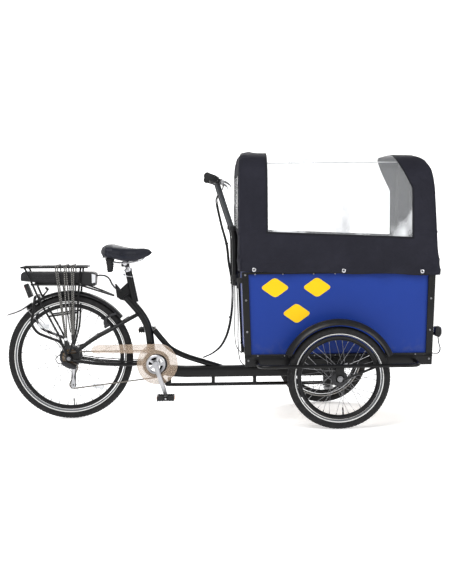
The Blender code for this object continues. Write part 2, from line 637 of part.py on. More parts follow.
def build_chassis():
    """Kingpin, cradle under the floor, bumper rails with the outer axle plates, mudguards."""
    node("kingpin", [turned([(0.0001, 0.1375), (0.026, 0.1375), (0.026, 0.1480), (0.0125, 0.1500),
                             (0.0125, 0.2996), (0.0001, 0.2996)], (KINGPIN_X, 0, 0), 16, "Z")], "dark_metal")
    rear = BOX_REAR_X + 0.010
    front = BOX_FRONT_X - 0.050
    node("floor_cradle", [block((KINGPIN_X - 0.030, -0.2600, 0.3000), (KINGPIN_X + 0.030, 0.2600, 0.3456)),
                          block((rear, -0.2600, 0.3020), (rear + 0.040, 0.2600, 0.3450)),
                          block((front, -0.2600, 0.3020), (front + 0.040, 0.2600, 0.3450)),
                          block((rear + 0.001, -0.0200, 0.3030), (front + 0.039, 0.0200, 0.3440))],
         "frame_black")
    for side, sign in SIDES.items():
        x = WHEELBASE
        axle_bore = tube([(x, sign * 0.30, FRONT_TYRE_R), (x, sign * 0.48, FRONT_TYRE_R)], AXLE_BORE_R, 12)
        rail_y = sign * 0.452
        rail = tube(smooth([(0.957, sign * 0.3165, 0.318), (0.957, sign * 0.395, 0.318),
                            (0.966, sign * 0.436, 0.317), (1.000, rail_y, 0.316), (1.100, rail_y, 0.316),
                            (1.600, rail_y, 0.316), (1.700, rail_y, 0.316), (1.734, sign * 0.436, 0.317),
                            (1.744, sign * 0.395, 0.318), (1.744, sign * 0.3165, 0.318)], 22), 0.009, 8)
        outer = block((x - 0.020, min(sided(sign, 0.449, 0.455)), 0.236),
                      (x + 0.020, max(sided(sign, 0.449, 0.455)), 0.318))
        brace = tube([(x + 0.008, rail_y, 0.246), (1.530, rail_y, 0.312)], 0.006, 6)
        node(f"bumper_{side}", [rail, outer, brace], "frame_black", cuts=[axle_bore])
        outline = arc((x, FRONT_TYRE_R), 0.2900, 155, 23, 20) + arc((x, FRONT_TYRE_R), 0.2865, 23, 155, 20)
        guard = plate(outline, *sided(sign, 0.368, 0.432))
        stays = []
        for start in (150, 28):
            (end_x, end_z), = arc((x, FRONT_TYRE_R), 0.2882, start, start, 1)
            foot_x = x + (end_x - x) * 0.95
            stays.append(tube([(end_x, sign * 0.376, end_z), ((end_x + foot_x) / 2, sign * 0.350, 0.368),
                               (foot_x, sign * 0.3230, 0.345)], 0.004, 6))
        node(f"front_mudguard_{side}", [guard] + stays, "black_plastic")


def canopy_shell(wall_in):
    """Rounded rear-to-front dome as stacked rings, moved inwards by wall_in, open below."""
    levels = [(0.757, 0.000), (0.900, 0.001), (1.050, 0.002), (1.180, 0.004), (1.262, 0.016),
              (1.315, 0.046), (1.341, 0.092)]
    points = []
    for z, tuck in levels:
        height = z - (wall_in if z > 1.0 else 0.0)
        if z == levels[0][0]:
            height = z - (0.01 if wall_in else 0.0)
        rear_x = 0.871 + tuck * 0.25 + wall_in
        front_x = 1.861 - 0.040 * (z - 0.757) - tuck * 0.80 - wall_in
        half = 0.3345 - tuck * 1.3 - wall_in
        corner = 0.014
        for x, y, turn in ((rear_x, -half, 180), (front_x, -half, 270), (front_x, half, 0), (rear_x, half, 90)):
            centre_x = x + corner if x < 1.3 else x - corner
            centre_y = y + corner if y < 0 else y - corner
            for px, py in arc((centre_x, centre_y), corner, turn, turn + 90, 4):
                lift = 0.022 * (1.861 - px) if z > 1.2 else 0.0
                points.append((px, py, height + lift))
    around = 16
    faces = [[around * (len(levels) - 1) + k for k in range(around)], list(range(around))]
    for row in range(len(levels) - 1):
        for k in range(around):
            a = row * around + k
            b = row * around + (k + 1) % around
            faces.append([a, b, b + around, a + around])
    return np.array(points), faces


def build_canopy():
    """Cloth hood, open below, on two steel hoops joined by a ridge bar."""
    outer = canopy_shell(0.0)
    inner = canopy_shell(0.004)
    node("canopy", [outer], "canopy_cloth", cuts=[inner])
    hoops = []
    for x in (0.936, 1.760):
        route = smooth([(x, -0.318, 0.790), (x, -0.314, 1.050), (x, -0.306, 1.190), (x, -0.262, 1.285),
                        (x, -0.190, 1.316), (x, 0.0, 1.3180), (x, 0.190, 1.316), (x, 0.262, 1.285),
                        (x, 0.306, 1.190), (x, 0.314, 1.050), (x, 0.318, 0.790)], 24)
        hoops.append(tube(route, 0.007, 6))
    hoops.append(tube([(0.936, 0, 1.3180), (1.760, 0, 1.3180)], 0.0065, 6))
    node("canopy_hoops", hoops, "dark_metal")


def build_handlebar():
    """Push bar on two posts that drop into its sleeves, grips, levers, cords and headlamp."""
    bar_line = smooth([(0.722, -0.330, 1.244), (0.748, -0.260, 1.236), (0.762, -0.190, 1.228),
                       (0.764, 0.0, 1.226), (0.762, 0.190, 1.228), (0.748, 0.260, 1.236),
                       (0.722, 0.330, 1.244)], 13)
    bar = tube(bar_line, 0.0111, 8)
    shapes = [bar]
    for sign in SIDES.values():
        y = sign * 0.190
        shapes.append(tube([(0.7635, y, 1.224), (0.8460, y, 0.978)], 0.0118, 10))
        shapes.append(tube(smooth([(0.8410, y, 0.994), (0.8510, y, 0.960), (0.8545, y, 0.920),
                                   (0.8550, y, 0.860), (0.8550, y, 0.700)], 9), 0.0145, 10))
        shapes.append(block((0.856, y - 0.016, 0.716), (0.8960, y + 0.016, 0.736)))
    node("handlebar", shapes, "grey_paint")
    for side, sign in SIDES.items():
        line = [(0.7200, sign * 0.3350, 1.2447), (0.7345, sign * 0.2970, 1.2405), (0.7480, sign * 0.2600, 1.2360)]
        core = tube(bar_line, 0.0117, 8)
        node(f"grip_{side}", [tube(line, 0.0165, 10)], "black_plastic", cuts=[core])
        pivot = (0.790, sign * 0.222, 1.224)
        blade = flat_bar(smooth([(0.790, sign * 0.222, 1.224), (0.816, sign * 0.240, 1.214),
                                 (0.828, sign * 0.280, 1.204), (0.834, sign * 0.335, 1.192)], 6), 0.007, 0.012)
        node(f"brake_lever_{side}", [blade], "silver_metal", pivot)
    cord = smooth([(0.782, 0.030, 1.190), (0.768, 0.020, 1.130), (0.790, 0.010, 1.010), (0.818, 0.0, 0.900),
                   (0.829, 0.0, 0.800), (0.846, 0.0, 0.690), (0.842, 0.0, 0.560), (0.822, 0.0, 0.450),
                   (0.788, 0.0, 0.376), (0.742, 0.0, 0.334), (0.690, 0.0, 0.3220)], 34)
    node("control_cords", [tube(cord, 0.0058, 6)], "cord_black")
    lamp = plate([(1.854, 0.480), (1.854, 0.440), (1.876, 0.430), (1.884, 0.452), (1.880, 0.484)],
                 -0.269, -0.221)
    node("headlamp", [lamp, block((1.8300, -0.253, 0.440), (1.858, -0.237, 0.456))], "dark_metal")


def main():
    """Build every sub-part under one empty."""
    clear_scene()
    base = bpy.data.objects.new("tricycle", None)
    base.location = (-REAR_TO_CENTRE, 0.0, 0.0)
    bpy.context.scene.collection.objects.link(base)
    build_frame()
    build_saddle()
    build_rack()
    build_stand()
    build_rear_wheel()
    build_front_wheels()
    build_cranks()
    build_drivetrain()
    build_rear_brake()
    build_box()
    build_chassis()
    build_canopy()
    build_handlebar()


main()
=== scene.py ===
"""The looks of the cargo tricycle: smooth tubes, laced wheels, stitched hood and real finishes.

Places are written in metres from the foot of the rear axle on the floor, as the frame's
drawings give them, and at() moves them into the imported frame.
"""
import json
import math

import bmesh
import bpy
import numpy as np
from mathutils import Matrix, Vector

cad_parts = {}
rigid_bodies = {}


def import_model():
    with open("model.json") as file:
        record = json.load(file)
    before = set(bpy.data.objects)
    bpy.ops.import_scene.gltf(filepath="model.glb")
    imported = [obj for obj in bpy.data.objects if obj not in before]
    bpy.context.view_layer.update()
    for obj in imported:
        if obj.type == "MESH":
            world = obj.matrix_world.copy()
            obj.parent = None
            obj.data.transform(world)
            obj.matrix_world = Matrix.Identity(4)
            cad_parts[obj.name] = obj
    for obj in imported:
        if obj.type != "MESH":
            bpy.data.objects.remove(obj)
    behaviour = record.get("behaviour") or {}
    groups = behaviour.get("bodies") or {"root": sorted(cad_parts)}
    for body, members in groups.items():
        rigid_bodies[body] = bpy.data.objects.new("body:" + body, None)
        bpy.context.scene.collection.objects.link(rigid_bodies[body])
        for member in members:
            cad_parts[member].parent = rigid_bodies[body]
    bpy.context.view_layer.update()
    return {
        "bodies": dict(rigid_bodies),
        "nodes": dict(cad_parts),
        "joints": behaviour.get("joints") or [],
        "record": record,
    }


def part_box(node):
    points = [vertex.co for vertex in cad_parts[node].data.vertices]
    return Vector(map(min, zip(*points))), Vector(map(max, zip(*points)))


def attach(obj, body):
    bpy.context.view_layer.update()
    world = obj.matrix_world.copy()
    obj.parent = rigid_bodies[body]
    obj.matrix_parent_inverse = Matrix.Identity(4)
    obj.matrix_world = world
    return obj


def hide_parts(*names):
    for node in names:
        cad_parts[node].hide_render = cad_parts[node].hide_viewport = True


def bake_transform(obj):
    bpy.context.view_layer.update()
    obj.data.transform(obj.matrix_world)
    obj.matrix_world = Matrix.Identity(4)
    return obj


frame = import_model()

AXLE_LOW, AXLE_HIGH = (np.array(corner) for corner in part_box("rear_axle"))
AXLE = (AXLE_LOW + AXLE_HIGH) / 2
FOOT = np.array((AXLE[0], 0.0, 0.0))
TAU = 2 * math.pi
SIDES = {"right": -1, "left": 1}

REAR_R = 0.325
FRONT_R = 0.253
REAR_HUB = np.array((0.0, 0.0, REAR_R))
FRONT_X = 1.353
HALF_TRACK = 0.400
BRACKET = np.array((0.444, 0.0, 0.285))
CRANK_TILT = math.radians(-72.0)
CRANK_LENGTH = 0.168
BOX_MID_X = 1.363
BOX_MID_Z = 0.560
BOX_HALF_LENGTH = 0.461
BOX_HALF_WIDTH = 0.3085
BOX_FLARE = 0.030
HOOD_FOOT_Z = 0.757
HOOD_FRONT_X = 1.861
HOOD_SLOPE = 0.022
HOOP_PLACES = (0.936, 1.760)
WHITE = (1.0, 1.0, 1.0, 1.0)


# ---- camera, floor and light -----------------------------------------------------------
def at(points):
    """Points measured from the rear axle's foot, moved into the frame."""
    return np.asarray(points, float) + FOOT


def set_camera():
    """Camera low on the drivetrain side, turned a little forward and level to within a degree."""
    yaw, pitch, roll = 0.0213, 0.07, -0.01
    ahead = np.array((math.sin(yaw) * math.cos(pitch), math.cos(yaw) * math.cos(pitch), -math.sin(pitch)))
    flat_right = np.array((math.cos(yaw), -math.sin(yaw), 0.0))
    flat_up = np.cross(flat_right, ahead)
    right = math.cos(roll) * flat_right + math.sin(roll) * flat_up
    up = -math.sin(roll) * flat_right + math.cos(roll) * flat_up
    lens = bpy.data.cameras.new("camera")
    lens.sensor_width = 36.0
    lens.lens = 69.87
    lens.clip_end = 100.0
    camera = bpy.data.objects.new("camera", lens)
    place = np.eye(4)
    place[:3, 0], place[:3, 1], place[:3, 2] = right, up, -ahead
    place[:3, 3] = at((0.6868, -5.8974, 1.0653))
    camera.matrix_world = Matrix(place.tolist())
    bpy.context.scene.collection.objects.link(camera)
    bpy.context.scene.camera = camera


def add_lamp(name, place, aim, size, power):
    """Square soft lamp at one place, facing another."""
    data = bpy.data.lights.new(name, "AREA")
    data.shape = "SQUARE"
    data.size = size
    data.energy = power
    lamp = bpy.data.objects.new(name, data)
    ahead = np.array(aim, float) - np.array(place, float)
    ahead /= np.linalg.norm(ahead)
    side = np.cross(ahead, (0.0, 0.0, 1.0))
    side /= np.linalg.norm(side)
    pose = np.eye(4)
    pose[:3, 0], pose[:3, 1], pose[:3, 2] = side, np.cross(side, ahead), -ahead
    pose[:3, 3] = place
    lamp.matrix_world = Matrix(pose.tolist())
    bpy.context.scene.collection.objects.link(lamp)


def add_sheet(name, corners, paint):
    """Flat, faintly glowing stage piece with four corners."""
    mesh = bpy.data.meshes.new(name)
    mesh.from_pydata(corners, [], [(0, 1, 2, 3)])
    sheet = bpy.data.objects.new(name, mesh)
    bpy.context.scene.collection.objects.link(sheet)
    paint.shader.inputs["Emission Color"].default_value = WHITE
    mesh.materials.append(paint.material)


def set_studio():
    """Pale floor, even white surround and three soft lamps."""
    scene = bpy.context.scene
    scene.view_settings.view_transform = "Standard"
    world = bpy.data.worlds.new("surround")
    world.use_nodes = True
    world.node_tree.nodes["Background"].inputs["Color"].default_value = WHITE
    world.node_tree.nodes["Background"].inputs["Strength"].default_value = 0.24
    scene.world = world
    reach = 40.0
    low = -0.0005
    corners = [(-reach, -reach, low), (reach, -reach, low), (reach, reach, low), (-reach, reach, low)]
    paint = Finish("floor_paint", (0.86, 0.86, 0.86), 0.9, Emission_Strength=0.45)
    add_sheet("floor", corners, paint)
    paint.set("Base Color", paint.mix(0.5 + 0.5 * paint.noise(0.6), (0.86, 0.86, 0.86), (0.90, 0.90, 0.90)))
    behind, foot, top = 14.0, -0.2, 30.0
    corners = [(-reach, behind, foot), (reach, behind, foot), (reach, behind, top), (-reach, behind, top)]
    add_sheet("backdrop", corners, Finish("backdrop_paint", (0.9, 0.9, 0.9), 0.9, Emission_Strength=0.90))
    add_lamp("key", (-1.6, -3.6, 4.2), (0.0, 0.0, 0.6), 2.6, 190.0)
    add_lamp("fill", (3.4, -3.4, 2.2), (0.2, 0.0, 0.6), 2.0, 70.0)
    add_lamp("back", (0.5, 4.0, 3.8), (0.0, 0.0, 0.6), 2.6, 110.0)


# ---- shader maths as expressions ----------------------------------------------------------
class Value:
    """One node output; operators on it add Math nodes to its finish."""

    def __init__(self, finish, socket):
        self.finish = finish
        self.socket = socket

    def _math(self, operation, first, second=None):
        return self.finish.math(operation, first, second)

    def __add__(self, other):
        return self._math("ADD", self, other)

    def __radd__(self, other):
        return self._math("ADD", other, self)

    def __sub__(self, other):
        return self._math("SUBTRACT", self, other)

    def __rsub__(self, other):
        return self._math("SUBTRACT", other, self)

    def __mul__(self, other):
        return self._math("MULTIPLY", self, other)

    def __rmul__(self, other):
        return self._math("MULTIPLY", other, self)

    def __truediv__(self, other):
        return self._math("DIVIDE", self, other)

    def __abs__(self):
        return self._math("ABSOLUTE", self)

    def sin(self):
        return self._math("SINE", self)

    def sqrt(self):
        return self._math("SQRT", self)

    def least(self, other):
        return self._math("MINIMUM", self, other)

    def most(self, other):
        return self._math("MAXIMUM", self, other)

    def power(self, other):
        return self._math("POWER", self, other)

    def step(self, edge, soft):
        """0 below edge, 1 above it, over a width of soft."""
        ramp = (self - (edge - soft / 2)) / soft
        return ramp.most(0.0).least(1.0)

    def band(self, low, high, soft):
        """1 between low and high, 0 outside."""
        return self.step(low, soft) * (1 - self.step(high, soft))


class Finish:
    """One procedural material: a Principled shader and the expressions that feed it."""

    def __init__(self, name, colour, roughness, metallic=0.0, **fixed):
        self.material = bpy.data.materials.new(name)
        self.material.use_nodes = True
        self.tree = self.material.node_tree
        self.shader = self.tree.nodes["Principled BSDF"]
        self.shader.inputs["Base Color"].default_value = (*colour, 1.0)
        self.shader.inputs["Roughness"].default_value = roughness
        self.shader.inputs["Metallic"].default_value = metallic
        for socket, value in fixed.items():
            self.shader.inputs[socket.replace("_", " ")].default_value = value
        self.place = None

    def node(self, kind, settings=None, inputs=None):
        """Add a node: its settings first, then values or links on its sockets."""
        node = self.tree.nodes.new(kind)
        for key, value in (settings or {}).items():
            setattr(node, key, value)
        for key, value in (inputs or {}).items():
            if isinstance(value, Value):
                self.tree.links.new(value.socket, node.inputs[key])
            elif value is not None:
                node.inputs[key].default_value = value
        return node

    def math(self, operation, first, second=None):
        """Math node on values, numbers alone being worked out by Python."""
        inputs = {0: first}
        if second is not None:
            inputs[1] = second
        return Value(self, self.node("ShaderNodeMath", {"operation": operation}, inputs).outputs[0])

    def coords(self):
        """Object coordinates, which are the frame's own."""
        if self.place is None:
            self.place = Value(self, self.node("ShaderNodeTexCoord").outputs["Object"])
        return self.place

    def xyz(self):
        """The three coordinates as values."""
        split = self.node("ShaderNodeSeparateXYZ", None, {0: self.coords()})
        return [Value(self, split.outputs[k]) for k in range(3)]

    def noise(self, scale, detail=3.0, stretch=None):
        """Fractal noise from 0 to 1, finer with scale, drawn out where stretch is small."""
        vector = self.coords()
        if stretch:
            mapping = self.node("ShaderNodeMapping", None, {"Vector": vector, "Scale": stretch})
            vector = Value(self, mapping.outputs[0])
        made = self.node("ShaderNodeTexNoise", None, {"Vector": vector, "Scale": scale, "Detail": detail})
        return Value(self, made.outputs[0])

    def cells(self, scale):
        """Distance to the nearest point of a cell pattern."""
        made = self.node("ShaderNodeTexVoronoi", None, {"Vector": self.coords(), "Scale": scale})
        return Value(self, made.outputs["Distance"])

    def mix(self, factor, first, second):
        """Blend of two colours."""
        made = self.node("ShaderNodeMix", {"data_type": "RGBA"}, {0: factor})
        for socket, colour in ((made.inputs[6], first), (made.inputs[7], second)):
            if isinstance(colour, Value):
                self.tree.links.new(colour.socket, socket)
            else:
                socket.default_value = (*colour, 1.0)
        return Value(self, made.outputs[2])

    def set(self, socket, value):
        """Feed one socket of the shader."""
        self.tree.links.new(value.socket, self.shader.inputs[socket])

    def bump(self, height, distance, strength=0.6):
        """Relief from a height expression, in metres."""
        made = self.node("ShaderNodeBump", None,
                         {"Height": height, "Distance": distance, "Strength": strength})
        self.tree.links.new(made.outputs[0], self.shader.inputs["Normal"])


def brushed(name, colour, roughness, metallic, fine=900.0, relief=0.00006):
    """Metal with drawn-out scratches and a patchy polish."""
    finish = Finish(name, colour, roughness, metallic)
    scratch = finish.noise(fine, 2.0, (1.0, 1.0, 0.15))
    patch = finish.noise(14.0)
    finish.set("Roughness", roughness - 0.08 + 0.16 * patch + 0.08 * scratch)
    dull = tuple(0.72 * c for c in colour)
    finish.set("Base Color", finish.mix(patch.step(0.62, 0.3), colour, dull))
    finish.bump(scratch, relief, 0.4)
    return finish


def enamel(name, colour, roughness, dust=(0.05, 0.05, 0.048)):
    """Glossy paint: orange peel, faint dust, and a hard clear coat."""
    finish = Finish(name, colour, roughness, Coat_Weight=0.08, Coat_Roughness=0.08, Specular_IOR_Level=0.22)
    peel = finish.noise(260.0, 2.0)
    haze = finish.noise(9.0)
    finish.set("Base Color", finish.mix(haze.step(0.66, 0.3) * 0.35, colour, dust))
    finish.set("Roughness", roughness + 0.14 * haze)
    finish.bump(peel, 0.00012, 0.25)
    return finish


def moulded(name, colour, roughness, grain=520.0, relief=0.00012):
    """Moulded plastic or rubber with a fine leather-like grain."""
    finish = Finish(name, colour, roughness, Specular_IOR_Level=0.25)
    cell = finish.cells(grain)
    wear = finish.noise(22.0)
    pale = tuple(min(1.0, 1.9 * c + 0.006) for c in colour)
    finish.set("Base Color", finish.mix(wear.step(0.64, 0.25) * 0.5, colour, pale))
    finish.set("Roughness", roughness + 0.16 * wear - 0.06)
    finish.bump(cell, relief, 0.5)
    return finish


def tyre_finish(name, hub, stripe_r):
    """Rubber with a pale reflective ring on both walls, at one radius about the hub."""
    finish = Finish(name, (0.012, 0.012, 0.013), 0.72, Specular_IOR_Level=0.25)
    x, _, z = finish.xyz()
    across = x - float(hub[0])
    rise = z - float(hub[2])
    radius = (across * across + rise * rise).sqrt()
    stripe = radius.band(stripe_r - 0.0022, stripe_r + 0.0022, 0.0010)
    wall = radius.band(stripe_r - 0.0100, stripe_r - 0.0046, 0.0012)
    dust = finish.noise(60.0)
    rubber = finish.mix(dust.step(0.55, 0.4) * 0.6, (0.0090, 0.0090, 0.0100), (0.024, 0.023, 0.022))
    shade = finish.mix(wall * 0.9, rubber, (0.36, 0.38, 0.41))
    finish.set("Base Color", finish.mix(stripe, shade, (0.74, 0.74, 0.73)))
    finish.set("Roughness", 0.78 - 0.3 * stripe - 0.08 * dust)
    ribs = (radius * 5200.0).sin()
    finish.bump(0.5 * ribs + finish.cells(900.0), 0.00010, 0.35)
    return finish


# ---- surfaces -----------------------------------------------------------------------------
def quads(rows, cols, wrap_rows=False, wrap_cols=True):
    """Corner numbers of the faces between neighbouring rows and columns of a grid."""
    row, col = np.meshgrid(np.arange(rows if wrap_rows else rows - 1),
                           np.arange(cols if wrap_cols else cols - 1), indexing="ij")
    next_row = (row + 1) % rows
    next_col = (col + 1) % cols
    return np.stack([row * cols + col, row * cols + next_col,
                     next_row * cols + next_col, next_row * cols + col], -1).reshape(-1, 4)


class Shape:
    """Points and faces of one or more closed surfaces."""

    def __init__(self, points, faces):
        self.points = np.asarray(points, float)
        self.faces = [list(face) for face in faces]

    def __add__(self, other):
        shift = len(self.points)
        both = Shape(np.vstack([self.points, other.points]), [])
        both.faces = self.faces + [[k + shift for k in face] for face in other.faces]
        return both

    def copies(self, poses):
        """The same shape under several 3x3 turns and shifts."""
        points = [self.points @ np.asarray(turn).T + np.asarray(shift) for turn, shift in poses]
        count = len(self.points)
        made = Shape(np.vstack(points), [])
        made.faces = [[k + n * count for k in face] for n in range(len(points)) for face in self.faces]
        return made


def total(shapes):
    """Several shapes as one."""
    shapes = list(shapes)
    made = shapes[0]
    for shape in shapes[1:]:
        made = made + shape
    return made


def smooth(route, count):
    """Points at even parameter steps on a Catmull-Rom curve through the route."""
    route = np.array(route, float)
    padded = np.vstack([2 * route[0] - route[1], route, 2 * route[-1] - route[-2]])
    value = np.linspace(0, len(route) - 1, count)
    k = np.minimum(value.astype(int), len(route) - 2)
    t = (value - k)[:, None]
    a, b, c, d = padded[k], padded[k + 1], padded[k + 2], padded[k + 3]
    return 0.5 * (2 * b + (c - a) * t + (2 * a - 5 * b + 4 * c - d) * t ** 2 + (3 * b - a - 3 * c + d)
                  * t ** 3)


def swept(points, section, scale=None):
    """A closed (side, rise) section carried along a path, its frame turned as little as possible."""
    points = np.asarray(points, float)
    section = np.asarray(section, float)
    steps = np.diff(points, axis=0)
    steps /= np.linalg.norm(steps, axis=1)[:, None]
    tangents = np.vstack([steps[:1], steps[:-1] + steps[1:], steps[-1:]])
    tangents /= np.linalg.norm(tangents, axis=1)[:, None]
    side = np.cross(tangents[0], (0.0, 0.0, 1.0))
    if np.linalg.norm(side) < 0.2:
        side = np.array((0.0, 1.0, 0.0))
    rings = []
    for number, (point, tangent) in enumerate(zip(points, tangents)):
        side = side - tangent * side.dot(tangent)
        side /= np.linalg.norm(side)
        rise = np.cross(side, tangent)
        grow = 1.0 if scale is None else scale[number]
        rings.append(point + grow * (section[:, :1] * side + section[:, 1:] * rise))
    count = len(section)
    faces = list(quads(len(rings), count)) + [list(range(count - 1, -1, -1))]
    faces.append([(len(rings) - 1) * count + k for k in range(count)])
    return Shape(np.vstack(rings), faces)


def circle(radius, sides=16, start=0.0):
    """Points of a circle."""
    turn = start + np.arange(sides) * TAU / sides
    return np.column_stack([np.cos(turn), np.sin(turn)]) * radius


def tube(points, radius, sides=16, round_ends=True):
    """Round bar whose two ends are drawn in over a few rings."""
    points = np.asarray(points, float)
    if not round_ends:
        return swept(points, circle(radius, sides))
    first = points[0] - points[1]
    last = points[-1] - points[-2]
    first /= np.linalg.norm(first)
    last /= np.linalg.norm(last)
    soft = radius * 0.25
    line = np.vstack([points[0] + first * soft, points[0] + first * soft * 0.7, points,
                      points[-1] + last * soft * 0.7, points[-1] + last * soft])
    scale = np.concatenate([[0.72, 0.92], np.ones(len(points)), [0.92, 0.72]])
    return swept(line, circle(radius, sides), scale)


def rounded(width, height, corner, steps=4):
    """Rectangle section with round corners."""
    made = []
    for x, y, start in ((1, 1, 0), (-1, 1, 1), (-1, -1, 2), (1, -1, 3)):
        turn = np.linspace(start, start + 1, steps) * TAU / 4
        made.append(np.column_stack([x * (width / 2 - corner) + corner * np.cos(turn),
                                     y * (height / 2 - corner) + corner * np.sin(turn)]))
    return np.vstack(made)


def turned(profile, centre, sides=64, axis="Y"):
    """A closed (radius, place) profile turned about an axis through centre."""
    profile = np.asarray(profile, float)
    turn = np.arange(sides) * TAU / sides
    radius = profile[:, :1]
    place = np.repeat(profile[:, 1:], sides, axis=1)
    first = radius * np.cos(turn)
    second = radius * np.sin(turn)
    order = {"Y": (first, place, second), "Z": (first, second, place), "X": (place, first, second)}[axis]
    return Shape(np.stack(order, -1).reshape(-1, 3) + np.asarray(centre), quads(len(profile), sides, True))


def slab(outline, y_low, y_high):
    """XZ outline given a thickness along Y."""
    outline = np.asarray(outline, float)
    count = len(outline)
    low = np.column_stack([outline[:, 0], np.full(count, y_low), outline[:, 1]])
    high = np.column_stack([outline[:, 0], np.full(count, y_high), outline[:, 1]])
    faces = list(quads(2, count)) + [list(range(count - 1, -1, -1)), list(range(count, 2 * count))]
    return Shape(np.vstack([low, high]), faces)


def block(low, high):
    """Box between two corners."""
    (x0, y0, z0), (x1, y1, z1) = low, high
    return slab([(x0, z0), (x1, z0), (x1, z1), (x0, z1)], y0, y1)


def disc(centre, radius, y_low, y_high, sides=32, soft=0.0006):
    """Round disc across Y with softened rims."""
    low, high = sorted((y_low, y_high))
    profile = [(0.00002, low), (radius - soft, low), (radius, low + soft), (radius, high - soft),
               (radius - soft, high), (0.00002, high)]
    return turned(profile, (centre[0], 0.0, centre[-1]), sides)


def bolt(place, outward, size):
    """Domed hexagon bolt head whose axis is outward."""
    outward = np.asarray(outward, float)
    outward /= np.linalg.norm(outward)
    line = [np.asarray(place) + outward * size * k for k in (-0.1, 0.25, 0.55, 0.7)]
    return swept(line, circle(size, 6), [1.25, 1.2, 1.0, 0.6])


def arc(centre, radius, start, end, count):
    """XZ points on an arc, angles in degrees from +X towards +Z."""
    turn = np.radians(np.linspace(start, end, count))
    return np.column_stack([centre[0] + radius * np.cos(turn), centre[1] + radius * np.sin(turn)])


def about_y(turn):
    """3x3 matrix that turns by an angle from +X towards +Z."""
    c, s = math.cos(turn), math.sin(turn)
    return np.array(((c, 0.0, -s), (0.0, 1.0, 0.0), (s, 0.0, c)))


def piece(name, shape, finish, body, stands_for=(), edge=0.0, flat=False, subdivide=0,
          frame_ready=False):
    """Make the object of a shape: faces outward, softened edges, and its ride on a body."""
    mesh = bpy.data.meshes.new(name)
    points = shape.points if frame_ready else at(shape.points)
    mesh.from_pydata(points.tolist(), [], shape.faces)
    form = bmesh.new()
    form.from_mesh(mesh)
    bmesh.ops.remove_doubles(form, verts=form.verts, dist=0.00003)
    bmesh.ops.recalc_face_normals(form, faces=form.faces)
    form.to_mesh(mesh)
    form.free()
    if not flat:
        mesh.shade_smooth()
        mesh.set_sharp_from_angle(angle=math.radians(40))
    mesh.materials.append(finish.material)
    thing = bpy.data.objects.new(name, mesh)
    bpy.context.scene.collection.objects.link(thing)
    if edge:
        bevel = thing.modifiers.new("soft_edge", "BEVEL")
        bevel.width = edge
        bevel.segments = 2
        bevel.limit_method = "ANGLE"
        bevel.angle_limit = math.radians(50)
    if subdivide:
        finer = thing.modifiers.new("finer", "SUBSURF")
        finer.levels = finer.render_levels = subdivide
    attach(thing, body)
    for node in stands_for:
        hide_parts(node)
    return thing


def repaint(finish, *nodes):
    """Give carried-over nodes their real finish."""
    for name in nodes:
        thing = frame["nodes"][name]
        for place in thing.material_slots:
            place.material = finish.material
        if not thing.material_slots:
            thing.data.materials.append(finish.material)


# ---- wheels ----------------------------------------------------------------------------------
def tyre_shape(hub, radius, section_r, blocks):
    """Torus whose outer third is cut into blocks: the section radius drops in the grooves."""
    rows, cols = blocks * 8, 40
    turn = np.arange(rows)[:, None] * TAU / rows
    around = np.arange(cols)[None, :] * TAU / cols
    crown = np.clip(np.cos(around), 0, 1) ** 0.5 * (np.cos(around) > 0.55)
    stagger = np.sign(np.sin(around))
    groove = (np.sin(turn * blocks + stagger * 1.2 + 3.0
                     * np.sin(around)) > 0.72) | (np.abs(np.sin(around)) < 0.10)
    section = section_r - 0.0013 * crown * groove
    squeeze = 1.0 - 0.16 * (np.cos(around) < -0.6)
    reach = radius - section_r + section * np.cos(around) * squeeze
    points = np.stack([hub[0] + reach * np.cos(turn), hub[1] + section * np.sin(around) + 0 * turn,
                       hub[2] + reach * np.sin(turn)], -1)
    return Shape(points.reshape(-1, 3), quads(rows, cols, True))


def spoke_set(hub, flange_r, flange_y, rim_r, count):
    """Spokes laid across each other: each leaves its flange at a slant and ends at the rim."""
    shapes = []
    for k in range(count):
        side = 1 if k % 2 else -1
        lean = (1 if (k // 2) % 2 else -1) * 1.05
        at_rim = (k + 0.5) * TAU / count
        at_hub = at_rim + lean
        head = 0.0016 * (1 if (k // 2) % 2 else -1)
        foot = np.array((flange_r * math.cos(at_hub), side * flange_y + head, flange_r * math.sin(at_hub)))
        tip = np.array((rim_r * math.cos(at_rim), side * 0.003, rim_r * math.sin(at_rim)))
        inward = (foot - tip) / np.linalg.norm(foot - tip)
        shapes.append(tube([hub + foot, hub + tip], 0.0010, 6, False))
        shapes.append(tube([hub + tip - inward * 0.004, hub + tip + inward * 0.011], 0.0019, 6, False))
    return total(shapes)


def rim_shape(hub, outer_r):
    """Double-wall rim section: hooked bead seats, braking flats and a rounded inner bridge."""
    inner = outer_r - 0.020
    profile = [(inner, -0.004), (inner, 0.004), (inner + 0.0025, 0.0085), (inner + 0.008, 0.0115),
               (inner + 0.0085, 0.0125), (outer_r - 0.0004, 0.0125), (outer_r, 0.0118),
               (outer_r - 0.001, 0.010),
               (outer_r - 0.005, 0.009), (outer_r - 0.006, 0.0), (outer_r - 0.005, -0.009),
               (outer_r - 0.001, -0.010), (outer_r, -0.0118), (outer_r - 0.0004, -0.0125),
               (inner + 0.0085, -0.0125), (inner + 0.008, -0.0115), (inner + 0.0025, -0.0085)]
    return turned(profile, hub, 160)


